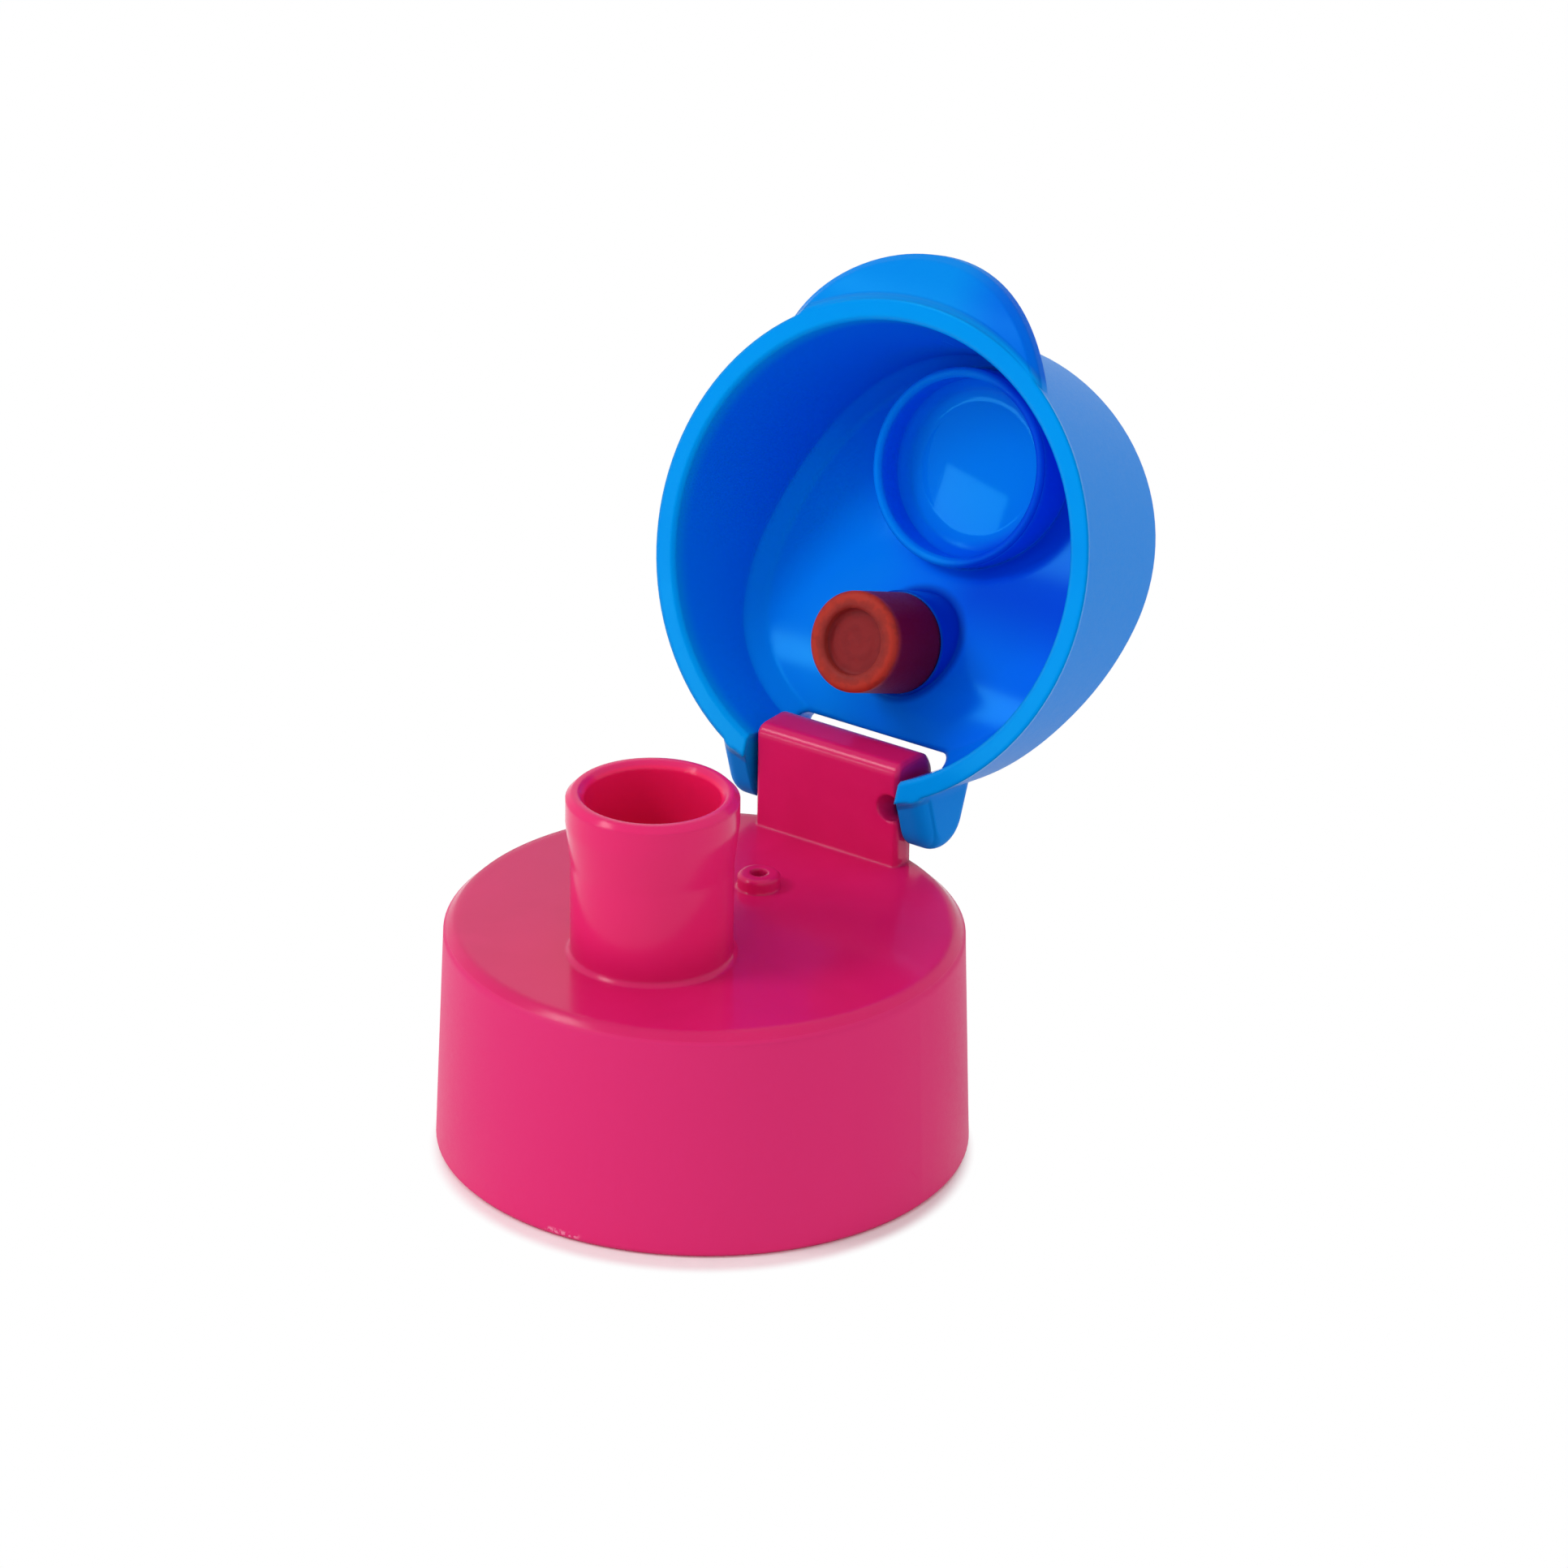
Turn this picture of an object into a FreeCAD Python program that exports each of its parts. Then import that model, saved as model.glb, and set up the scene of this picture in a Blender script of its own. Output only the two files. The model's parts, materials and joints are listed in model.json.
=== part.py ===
import FreeCAD, Part
import math
import os

import Sketcher

# Bottle lid: a screw cap with a drinking spout and a vent, and a domed flip cover hinged on a post.
# Millimetres. Z is up, the origin is the centre of the cap's lower edge, the hinge axis lies along X,
# the spout is on the -Y side and the hinge on the +Y side.

doc = FreeCAD.newDocument("bottle_lid")
sheet = doc.addObject("Spreadsheet::Sheet", "Sizes")

# Driving sizes. Heights named for the cover are measured from the plane where its rim meets the cap.
SIZES = (
    # Screw cap
    ("cap_height", 23.1),
    ("base_radius", 26.0),
    ("skirt_taper", 0.83),
    ("skirt_wall", 2.8),
    ("shoulder_bevel", 1.0),
    ("hem_bevel", 0.4),
    ("top_wall", 2.4),
    # Seat that holds the bottle seal, and the seal
    ("seat_step", 0.9),
    ("seat_spare", 0.1),
    ("seal_width", 2.4),
    ("seal_thickness", 1.7),
    ("seal_gap", 0.15),
    # Drinking spout
    ("spout_margin", 8.18),
    ("spout_height", 16.8),
    ("spout_radius", 7.83),
    ("spout_wall", 1.31),
    ("lip_step", 0.49),
    ("lip_band", 3.0),
    ("flare_drop", 7.2),
    ("lip_bevel", 0.6),
    ("foot_bevel", 0.4),
    # Vent nipple
    ("vent_offset", 9.0),
    ("vent_radius", 2.1),
    ("vent_height", 1.5),
    ("vent_bore_radius", 0.85),
    ("vent_bevel", 0.3),
    # Hinge post
    ("post_front_reach", 3.37),
    ("post_back_reach", 2.83),
    ("post_width", 16.86),
    ("post_head", 5.6),
    ("post_front_round", 1.2),
    ("post_back_round", 2.6),
    ("post_side_bevel", 0.35),
    ("post_head_drop", 2.2),
    ("post_ledge", 0.1),
    ("knuckle_round", 1.55),
    # Hinge
    ("hinge_inset", 1.16),
    ("hinge_height", 5.3),
    ("hinge_side_gap", 0.57),
    ("pin_radius", 1.3),
    ("pin_clearance", 0.05),
    ("pin_reach", 2.2),
    ("pin_end_gap", 0.2),
    ("pin_bevel", 0.4),
    ("notch_radius", 1.4),
    ("notch_depth", 2.39),
    ("notch_rise", 1.0),
    ("notch_end_depth", 0.8),
    ("open_angle", 110.5),
    # Flip cover
    ("cover_inset", 0.44),
    ("cover_wall", 2.05),
    ("cover_draft", 9.8),
    ("rim_bevel", 0.3),
    ("roof_wall", 2.1),
    ("roof_bevel", 1.1),
    ("roof_inner_bevel", 1.4),
    ("crest_shift", 4.83),
    ("crest_rise", 3.6),
    ("crest_radius", 37.0),
    ("dip_rise", 1.88),
    ("dip_radius", 17.0),
    ("slope_length", 9.628),
    ("slot_reach", 2.1),
    ("slot_round", 1.0),
    # Ears beside the post
    ("ear_radius", 3.5),
    ("ear_width", 3.2),
    ("ear_heel_reach", 1.17),
    ("ear_root_reach", 4.27),
    ("ear_round", 1.6),
    # Ring in the cover that closes over the spout
    ("ring_gap", 0.6),
    ("ring_shift", 0.2),
    ("ring_wall", 1.0),
    ("ring_depth", 3.93),
    ("ring_lip_bevel", 0.3),
    ("ring_floor_gap", 0.3),
    ("ring_floor_bevel", 0.9),
    # Thumb tab
    ("tab_radius", 16.0),
    ("tab_inset", 11.23),
    ("tab_root_inset", 4.73),
    ("tab_bend", 20.0),
    ("tab_wall", 2.2),
    ("tab_bevel", 0.6),
    # Vent plug and the boss and peg that carry it
    ("plug_radius", 5.0),
    ("plug_lift", 0.67),
    ("plug_length", 8.4),
    ("plug_bevel", 0.35),
    ("plug_recess_radius", 3.3),
    ("plug_seat_gap", 0.05),
    ("boss_step", 0.2),
    ("peg_radius", 2.5),
    ("peg_length", 5.0),
    ("peg_end_gap", 0.2),
    # How far a cutting shape runs past what it cuts
    ("spare", 2.0),
)

# Sizes that follow from the ones above, so that the pieces still fit when one of those changes.
DERIVED = (
    ("shoulder_radius", "base_radius - skirt_taper"),
    ("bore_radius", "base_radius - skirt_wall"),
    ("seat_radius", "bore_radius - seat_step"),
    ("seat_depth", "seal_thickness + seat_spare"),
    ("seal_radius", "seat_radius - seal_gap"),
    ("spout_lip_radius", "spout_radius + lip_step"),
    ("spout_bore_radius", "spout_radius - spout_wall"),
    ("spout_offset", "shoulder_radius - spout_lip_radius - spout_margin"),
    ("flare_start", "spout_height - flare_drop"),
    ("flare_end", "spout_height - lip_band"),
    ("cover_radius", "shoulder_radius - cover_inset"),
    ("hinge_offset", "cover_radius - hinge_inset"),
    ("post_front", "hinge_offset - post_front_reach"),
    ("post_back", "hinge_offset + post_back_reach"),
    ("post_height", "hinge_height + post_head"),
    ("post_waist_height", "hinge_height - post_head_drop"),
    ("post_waist_radius", "shoulder_radius - shoulder_bevel - post_ledge"),
    ("notch_height", "hinge_height + notch_rise"),
    ("crest_offset", "spout_offset + crest_shift"),
    ("crest_height", "spout_height + crest_rise"),
    ("dip_height", "plug_lift + plug_length + dip_rise"),
    ("roof_radii", "crest_radius + dip_radius"),
    ("roof_rise", "roof_radii + dip_height - crest_height"),
    ("roof_run", "sqrt(roof_radii ^ 2 + slope_length ^ 2 - roof_rise ^ 2)"),
    ("dip_offset", "roof_run - crest_offset"),
    ("slot_front", "post_front - slot_reach"),
    ("ear_heel", "hinge_offset - ear_heel_reach"),
    ("ear_root", "hinge_offset - ear_root_reach"),
    ("ring_lip_height", "spout_height - ring_depth"),
    ("tab_offset", "cover_radius - tab_inset"),
    ("tab_root", "cover_radius - tab_root_inset"),
)
rows = [(alias, str(value)) for alias, value in SIZES]
rows += [(alias, f"={formula}") for alias, formula in DERIVED]
for row, (alias, content) in enumerate(rows, 1):
    sheet.set(f"A{row}", alias.replace("_", " "))
    sheet.set(f"B{row}", content)
    sheet.setAlias(f"B{row}", alias)
    doc.recompute()

# Edges within this distance of a place count as lying there.
NEAR = 0.01


def size(alias):
    """Value of one driving size."""
    return float(sheet.get(alias))


def number(expression):
    """Value of an expression over the driving sizes."""
    return float(sheet.evalExpression(expression))


def origin_plane(body, role):
    """One of a body's own origin planes or axes."""
    return next(feature for feature in body.Origin.OriginFeatures if feature.Role == role)


def new_body(name):
    """Start a moulded piece."""
    body = doc.addObject("PartDesign::Body", name)
    body.Label = name
    return body


def new_sketch(body, name, role, **shift):
    """Start a sketch on an origin plane, moved by the expressions given for x, y and z of the sketch."""
    sketch = body.newObject("Sketcher::SketchObject", name)
    sketch.AttachmentSupport = (origin_plane(body, role), [""])
    sketch.MapMode = "FlatFace"
    for axis, expression in shift.items():
        sketch.setExpression(f"AttachmentOffset.Base.{axis}", expression)
    doc.recompute()
    return sketch


def bind(sketch, constraint, expression):
    """Add a dimension and tie it to an expression."""
    index = sketch.addConstraint(constraint)
    sketch.setExpression(f"Constraints[{index}]", expression)


def hold_point(sketch, geometry, point, x, y):
    """Fix a point of a sketch at the expressions x and y, where "0" puts it on an axis."""
    for kind, axis, place in (("DistanceX", -2, x), ("DistanceY", -1, y)):
        if place == "0":
            sketch.addConstraint(Sketcher.Constraint("PointOnObject", geometry, point, axis))
        else:
            bind(sketch, Sketcher.Constraint(kind, -1, 1, geometry, point, number(place)), place)


def draw_line(sketch, start, end):
    """Draw a straight line between two points and give its number in the sketch."""
    return sketch.addGeometry(Part.LineSegment(start, end))


def constrain(sketch, rules):
    """Add constraints that carry no dimension, such as tangent or level."""
    for rule in rules:
        sketch.addConstraint(Sketcher.Constraint(*rule))


def draw_outline(sketch, corners):
    """Draw a closed straight-sided outline through corners given as pairs of expressions."""
    spots = [FreeCAD.Vector(number(x), number(y), 0) for x, y in corners]
    first = sketch.GeometryCount
    for start, end in zip(spots, spots[1:] + spots[:1]):
        draw_line(sketch, start, end)
    for index, (x, y) in enumerate(corners):
        following = first + (index + 1) % len(corners)
        sketch.addConstraint(Sketcher.Constraint("Coincident", first + index, 2, following, 1))
        hold_point(sketch, first + index, 1, x, y)


def draw_circle(sketch, x, y, radius):
    """Draw a circle with its centre and radius given as expressions."""
    centre = FreeCAD.Vector(number(x), number(y), 0)
    index = sketch.addGeometry(Part.Circle(centre, FreeCAD.Vector(0, 0, 1), number(radius)))
    hold_point(sketch, index, 3, x, y)
    bind(sketch, Sketcher.Constraint("Radius", index, number(radius)), radius)


def draw_arc(sketch, centre, radius, start, end):
    """Draw an arc from angle start to end in radians, its centre and radius given as expressions."""
    middle = FreeCAD.Vector(number(centre[0]), number(centre[1]), 0)
    circle = Part.Circle(middle, FreeCAD.Vector(0, 0, 1), number(radius))
    index = sketch.addGeometry(Part.ArcOfCircle(circle, start, end))
    hold_point(sketch, index, 3, *centre)
    bind(sketch, Sketcher.Constraint("Radius", index, number(radius)), radius)
    return index


def extrude(body, kind, name, sketch, length, both_ways=False, upward=False, taper=None):
    """Pad or pocket a sketch. A pocket goes against the sketch's normal unless it is upward."""
    feature = body.newObject(f"PartDesign::{kind}", name)
    feature.Profile = sketch
    feature.setExpression("Length", length)
    if both_ways:
        feature.SideType = "Symmetric"
    feature.Reversed = upward
    if taper:
        feature.setExpression("TaperAngle", taper)
    doc.recompute()
    return feature


def revolve(body, name, sketch):
    """Turn a half section about the sketch's own vertical axis."""
    feature = body.newObject("PartDesign::Revolution", name)
    feature.Profile = sketch
    feature.ReferenceAxis = (sketch, ["V_Axis"])
    feature.Angle = 360
    doc.recompute()


def mirror(body, name, originals):
    """Repeat features on the other side of the plane through the spout and the hinge."""
    feature = body.newObject("PartDesign::Mirrored", name)
    feature.Originals = originals
    feature.MirrorPlane = (origin_plane(body, "YZ_Plane"), [""])
    body.Tip = feature
    doc.recompute()


def soften(body, kind, name, amount, chosen):
    """Round (Fillet) or bevel (Chamfer) the edges of the body that the function chosen picks."""
    base = body.Tip
    edges = [f"Edge{index}" for index, edge in enumerate(base.Shape.Edges, 1) if chosen(edge)]
    if not edges:
        raise RuntimeError(f"no edges for {name}")
    feature = body.newObject(f"PartDesign::{kind}", name)
    feature.Base = (base, edges)
    feature.setExpression("Radius" if kind == "Fillet" else "Size", amount)
    doc.recompute()


def join(body, name, tool, kind):
    """Cut or fuse another piece of the mould into a body."""
    feature = body.newObject("PartDesign::Boolean", name)
    feature.Type = kind
    feature.setObjects([tool])
    doc.recompute()


def is_circle(edge, radius, z, centre_y=0.0):
    """True for a whole or part circle about a vertical axis at height z."""
    curve = edge.Curve
    return (isinstance(curve, Part.Circle) and abs(curve.Radius - radius) < NEAR
            and abs(curve.Center.z - z) < NEAR and abs(curve.Center.y - centre_y) < NEAR)


def lies_at(edge, **places):
    """True where every point of an edge has the given coordinates."""
    points = edge.discretize(5)
    return all(abs(getattr(point, axis) - place) < NEAR for axis, place in places.items() for point in points)


def lies_at_side(edge, x):
    """True where every point of an edge is at the distance x left or right of the middle."""
    return lies_at(edge, x=x) or lies_at(edge, x=-x)


def build_cap_shell(body):
    """Tapered skirt, flat top, plain bore and the seal's narrower seat, turned from one half section."""
    sketch = new_sketch(body, "CapSection", "XZ_Plane")
    ceiling = "Sizes.cap_height - Sizes.top_wall"
    seat = f"{ceiling} - Sizes.seat_depth"
    draw_outline(sketch, (
        ("Sizes.bore_radius", "0"),
        ("Sizes.base_radius", "0"),
        ("Sizes.shoulder_radius", "Sizes.cap_height"),
        ("0", "Sizes.cap_height"),
        ("0", ceiling),
        ("Sizes.seat_radius", ceiling),
        ("Sizes.seat_radius", seat),
        ("Sizes.bore_radius", seat),
    ))
    revolve(body, "CapShell", sketch)
    soften(body, "Chamfer", "ShoulderBevel", "Sizes.shoulder_bevel",
           lambda edge: is_circle(edge, size("shoulder_radius"), size("cap_height")))
    soften(body, "Chamfer", "HemBevel", "Sizes.hem_bevel",
           lambda edge: is_circle(edge, size("base_radius"), 0))


def build_post(body):
    """Hinge post: a thick knuckle on a waist that follows the cap's round edge."""
    top = "Sizes.cap_height + Sizes.post_height"
    root = "Sizes.cap_height"
    waist = "Sizes.cap_height + Sizes.post_waist_height"
    sketch = new_sketch(body, "PostSide", "YZ_Plane")
    draw_outline(sketch, (
        ("Sizes.post_front", root),
        ("Sizes.post_waist_radius", root),
        ("Sizes.post_waist_radius", waist),
        ("Sizes.post_back", waist),
        ("Sizes.post_back", top),
        ("Sizes.post_front", top),
    ))
    extrude(body, "Pad", "Post", sketch, "Sizes.post_width", both_ways=True)
    trim = new_sketch(body, "WaistTrim", "XY_Plane", z=waist)
    draw_circle(trim, "0", "0", "Sizes.post_waist_radius")
    draw_circle(trim, "0", "0", "Sizes.post_back + Sizes.post_width")
    extrude(body, "Pocket", "Waist", trim, "Sizes.post_waist_height")
    height = number(top)
    soften(body, "Fillet", "PostFrontRound", "Sizes.post_front_round",
           lambda edge: lies_at(edge, y=size("post_front"), z=height))
    soften(body, "Fillet", "PostBackRound", "Sizes.post_back_round",
           lambda edge: lies_at(edge, y=size("post_back"), z=height))
    soften(body, "Fillet", "KnuckleRound", "Sizes.knuckle_round",
           lambda edge: lies_at(edge, y=size("post_back"), z=number(waist)))
    side = number("Sizes.post_width / 2")
    soften(body, "Chamfer", "PostSideBevel", "Sizes.post_side_bevel",
           lambda edge: lies_at_side(edge, side) and edge.BoundBox.ZMax > number(waist) + NEAR)


def build_hinge_seats(body):
    """Pin holes in the post's sides, the right one with a lead-in notch that grows shallower towards it."""
    side = "Sizes.post_width / 2"
    hole = new_sketch(body, "PinHoleCircle", "YZ_Plane", z=side)
    draw_circle(hole, "Sizes.hinge_offset", "Sizes.cap_height + Sizes.hinge_height",
                "Sizes.pin_radius + Sizes.pin_clearance")
    pin_hole = extrude(body, "Pocket", "PinHole", hole, "Sizes.pin_reach + Sizes.pin_end_gap")
    mirror(body, "PinHoles", [pin_hole])
    front = new_sketch(body, "NotchFront", "XZ_Plane", z="-Sizes.post_front")
    draw_circle(front, f"{side} - Sizes.notch_depth + Sizes.notch_radius",
                "Sizes.cap_height + Sizes.notch_height", "Sizes.notch_radius")
    back = new_sketch(body, "NotchBack", "XZ_Plane", z="-Sizes.hinge_offset")
    draw_circle(back, f"{side} - Sizes.notch_end_depth + Sizes.pin_radius",
                "Sizes.cap_height + Sizes.hinge_height", "Sizes.pin_radius")
    notch = body.newObject("PartDesign::SubtractiveLoft", "Notch")
    notch.Profile = front
    notch.Sections = [back]
    notch.Ruled = True
    doc.recompute()


def build_spout(body):
    """Drinking spout: a straight stem that flares into a softened lip, open through the cap's top."""
    sketch = new_sketch(body, "SpoutSection", "YZ_Plane", x="-Sizes.spout_offset", y="Sizes.cap_height")
    root = "-Sizes.top_wall / 2"
    draw_outline(sketch, (
        ("Sizes.spout_bore_radius", root),
        ("Sizes.spout_radius", root),
        ("Sizes.spout_radius", "Sizes.flare_start"),
        ("Sizes.spout_lip_radius", "Sizes.flare_end"),
        ("Sizes.spout_lip_radius", "Sizes.spout_height"),
        ("Sizes.spout_bore_radius", "Sizes.spout_height"),
    ))
    revolve(body, "Spout", sketch)
    bore = new_sketch(body, "SpoutBoreCircle", "XY_Plane", z="Sizes.cap_height + Sizes.flare_start")
    draw_circle(bore, "0", "-Sizes.spout_offset", "Sizes.spout_bore_radius")
    extrude(body, "Pocket", "SpoutBore", bore, "Sizes.flare_start + Sizes.top_wall")
    top = number("Sizes.cap_height + Sizes.spout_height")
    radii = (size("spout_lip_radius"), size("spout_bore_radius"))
    soften(body, "Chamfer", "LipBevel", "Sizes.lip_bevel",
           lambda edge: any(is_circle(edge, radius, top, -size("spout_offset")) for radius in radii))


def build_vent(body):
    """Vent nipple with a bevelled mouth and a fine bore through the cap's top."""
    nipple = new_sketch(body, "VentCircle", "XY_Plane", z="Sizes.cap_height - Sizes.top_wall / 2")
    draw_circle(nipple, "0", "Sizes.vent_offset", "Sizes.vent_radius")
    extrude(body, "Pad", "VentNipple", nipple, "Sizes.vent_height + Sizes.top_wall / 2")
    mouth = number("Sizes.cap_height + Sizes.vent_height")
    soften(body, "Chamfer", "VentBevel", "Sizes.vent_bevel",
           lambda edge: is_circle(edge, size("vent_radius"), mouth, size("vent_offset")))
    bore = new_sketch(body, "VentBoreCircle", "XY_Plane", z="Sizes.cap_height + Sizes.vent_height")
    draw_circle(bore, "0", "Sizes.vent_offset", "Sizes.vent_bore_radius")
    extrude(body, "Pocket", "VentBore", bore, "Sizes.vent_height + Sizes.top_wall")


def build_screw_cap():
    """The whole pink moulding."""
    body = new_body("screw_cap")
    build_cap_shell(body)
    build_post(body)
    build_spout(body)
    build_vent(body)
    soften(body, "Chamfer", "SpoutFoot", "Sizes.foot_bevel",
           lambda edge: is_circle(edge, size("spout_radius"), size("cap_height"), -size("spout_offset")))
    build_hinge_seats(body)
    return body


def draw_roof_line(sketch, sink, top):
    """Close the region above the roof line, which is lowered by the expression sink.

    The line runs from a crest arc near the spout down a straight slope into a hollow arc near the hinge.
    """
    front_end = "-(Sizes.cover_radius + Sizes.spare)"
    back_end = "(Sizes.cover_radius + Sizes.dip_offset)"
    crest = ("-Sizes.crest_offset", "Sizes.crest_height - Sizes.crest_radius")
    crest_radius = f"Sizes.crest_radius - ({sink})"
    dip = ("Sizes.dip_offset", "Sizes.dip_height + Sizes.dip_radius")
    dip_radius = f"Sizes.dip_radius + ({sink})"
    climb = math.atan2(size("roof_rise"), size("roof_run"))
    turn = climb + math.atan2(size("slope_length"), size("roof_radii"))
    front_angle = math.acos((number(front_end) - number(crest[0])) / number(crest_radius))
    crest_arc = draw_arc(sketch, crest, crest_radius, turn, front_angle)
    dip_arc = draw_arc(sketch, dip, dip_radius, math.pi + turn, 1.5 * math.pi)
    front = sketch.Geometry[crest_arc].EndPoint
    floor = sketch.Geometry[dip_arc].EndPoint
    back = FreeCAD.Vector(number(back_end), floor.y, 0)
    back_top = FreeCAD.Vector(back.x, number(top), 0)
    front_top = FreeCAD.Vector(front.x, number(top), 0)
    slope = draw_line(sketch, sketch.Geometry[crest_arc].StartPoint, sketch.Geometry[dip_arc].StartPoint)
    tail = draw_line(sketch, floor, back)
    up = draw_line(sketch, back, back_top)
    lid = draw_line(sketch, back_top, front_top)
    down = draw_line(sketch, front_top, front)
    constrain(sketch, (
        ("Tangent", crest_arc, 1, slope, 1),
        ("Tangent", slope, 2, dip_arc, 1),
        ("Tangent", dip_arc, 2, tail, 1),
        ("Coincident", tail, 2, up, 1),
        ("Coincident", up, 2, lid, 1),
        ("Coincident", lid, 2, down, 1),
        ("Coincident", down, 2, crest_arc, 2),
        ("Horizontal", tail),
        ("Vertical", up),
        ("Horizontal", lid),
        ("Vertical", down),
    ))
    bind(sketch, Sketcher.Constraint("DistanceX", -1, 1, up, 1, back.x), back_end)
    bind(sketch, Sketcher.Constraint("DistanceX", -1, 1, down, 1, front.x), front_end)
    bind(sketch, Sketcher.Constraint("DistanceY", -1, 1, lid, 1, back_top.y), top)


def build_dome(body, radius, sink, bevel):
    """Cone that leans inwards and is cut off along the roof line, with its upper edge bevelled.

    The cover's outside and the core of its hollow are both made this way.
    """
    rim = "Sizes.cap_height"
    over = "Sizes.crest_height + 2 * Sizes.spare"
    circle = new_sketch(body, "RimCircle", "XY_Plane", z=rim)
    draw_circle(circle, "0", "0", radius)
    extrude(body, "Pad", "Cone", circle, over, taper="-Sizes.cover_draft")
    roof = new_sketch(body, "RoofLine", "YZ_Plane", y=rim)
    draw_roof_line(roof, sink, f"{over} + Sizes.spare")
    extrude(body, "Pocket", "Roof", roof, "4 * Sizes.cover_radius", both_ways=True)
    lowest = number(f"{rim} + Sizes.dip_height - ({sink})") - NEAR
    soften(body, "Chamfer", "RoofBevel", bevel,
           lambda edge: min(point.z for point in edge.discretize(5)) > lowest)


def build_cover_core():
    """The hollow of the cover as a mould maker's core, with the spout ring and the plug's peg cut into it."""
    core = new_body("cover_core")
    build_dome(core, "Sizes.cover_radius - Sizes.cover_wall", "Sizes.roof_wall", "Sizes.roof_inner_bevel")
    rim = "Sizes.cap_height"
    over = "Sizes.crest_height"
    inner = "Sizes.spout_lip_radius + Sizes.ring_gap"
    outer = f"{inner} + Sizes.ring_wall"
    ring_y = "-Sizes.spout_offset - Sizes.ring_shift"
    lip_z = f"{rim} + Sizes.ring_lip_height"
    lip = new_sketch(core, "RingLip", "XY_Plane", z=lip_z)
    draw_circle(lip, "0", ring_y, outer)
    extrude(core, "Pocket", "RingSpace", lip, over, upward=True)
    floor = new_sketch(core, "RingFloor", "XY_Plane", z=lip_z)
    draw_circle(floor, "0", ring_y, inner)
    extrude(core, "Pad", "RingHollow", floor,
            "Sizes.spout_height + Sizes.ring_floor_gap - Sizes.ring_lip_height")
    soften(core, "Chamfer", "RingLipBevel", "Sizes.ring_lip_bevel",
           lambda edge: any(is_circle(edge, number(radius), number(lip_z), number(ring_y))
                            for radius in (inner, outer)))
    floor_z = number("Sizes.cap_height + Sizes.spout_height + Sizes.ring_floor_gap")
    soften(core, "Chamfer", "RingFloorBevel", "Sizes.ring_floor_bevel",
           lambda edge: is_circle(edge, number(inner), floor_z, number(ring_y)))
    plug_top = f"{rim} + Sizes.plug_lift + Sizes.plug_length"
    boss = new_sketch(core, "BossCircle", "XY_Plane", z=plug_top)
    draw_circle(boss, "0", "Sizes.vent_offset", "Sizes.plug_radius + Sizes.boss_step")
    extrude(core, "Pocket", "BossSpace", boss, over, upward=True)
    peg = new_sketch(core, "PegCircle", "XY_Plane", z=f"{plug_top} - Sizes.peg_length")
    draw_circle(peg, "0", "Sizes.vent_offset", "Sizes.peg_radius")
    extrude(core, "Pocket", "PegSpace", peg, over, upward=True)
    return core


def build_tab():
    """Thumb tab: a round tongue that leaves the rim level and curls up to its tip."""
    tab = new_body("thumb_tab")
    centre = ("-Sizes.tab_root", "Sizes.tab_bend")
    reach = "-Sizes.tab_offset - Sizes.tab_radius - Sizes.spare"
    heel = "-Sizes.tab_offset - Sizes.cover_wall"
    section = new_sketch(tab, "TabSection", "YZ_Plane", y="Sizes.cap_height")
    first = 1.5 * math.pi - math.asin((-number(reach) - size("tab_root")) / size("tab_bend"))
    lower = draw_arc(section, centre, "Sizes.tab_bend", first, 1.5 * math.pi)
    upper = draw_arc(section, centre, "Sizes.tab_bend - Sizes.tab_wall", first, 1.5 * math.pi)
    low = section.Geometry[lower]
    high = section.Geometry[upper]
    low_heel = FreeCAD.Vector(number(heel), 0, 0)
    high_heel = FreeCAD.Vector(number(heel), size("tab_wall"), 0)
    tip = draw_line(section, low.StartPoint, high.StartPoint)
    base = draw_line(section, low.EndPoint, low_heel)
    back = draw_line(section, low_heel, high_heel)
    crown = draw_line(section, high_heel, high.EndPoint)
    constrain(section, (
        ("Coincident", lower, 1, tip, 1),
        ("Coincident", tip, 2, upper, 1),
        ("Tangent", lower, 2, base, 1),
        ("Coincident", base, 2, back, 1),
        ("Coincident", back, 2, crown, 1),
        ("Tangent", crown, 2, upper, 2),
        ("Vertical", tip),
        ("Vertical", back),
        ("Horizontal", base),
        ("Horizontal", crown),
    ))
    bind(section, Sketcher.Constraint("DistanceX", -1, 1, back, 1, low_heel.x), heel)
    bind(section, Sketcher.Constraint("DistanceX", -1, 1, tip, 1, low.StartPoint.x), reach)
    width = "2 * Sizes.tab_radius + 2 * Sizes.spare"
    extrude(tab, "Pad", "TabBlank", section, width, both_ways=True)
    plan = new_sketch(tab, "TabPlan", "XY_Plane", z="Sizes.cap_height + Sizes.tab_radius")
    draw_circle(plan, "0", "-Sizes.tab_offset", "Sizes.tab_radius")
    draw_circle(plan, "0", "-Sizes.tab_offset", width)
    extrude(tab, "Pocket", "TabOutline", plan, "2 * Sizes.tab_radius")
    soften(tab, "Chamfer", "TabBevel", "Sizes.tab_bevel",
           lambda edge: edge.BoundBox.YMin < low_heel.x - NEAR and edge.Length > 2 * size("tab_wall")
           and not lies_at(edge, y=-size("tab_root")) and not lies_at(edge, y=low_heel.x))
    inside = new_sketch(tab, "TabInside", "XY_Plane", z="Sizes.cap_height + Sizes.tab_radius")
    draw_circle(inside, "0", "0", "Sizes.cover_radius - Sizes.cover_wall / 2")
    extrude(tab, "Pocket", "TabRootCut", inside, "2 * Sizes.tab_radius")
    return tab


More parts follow.
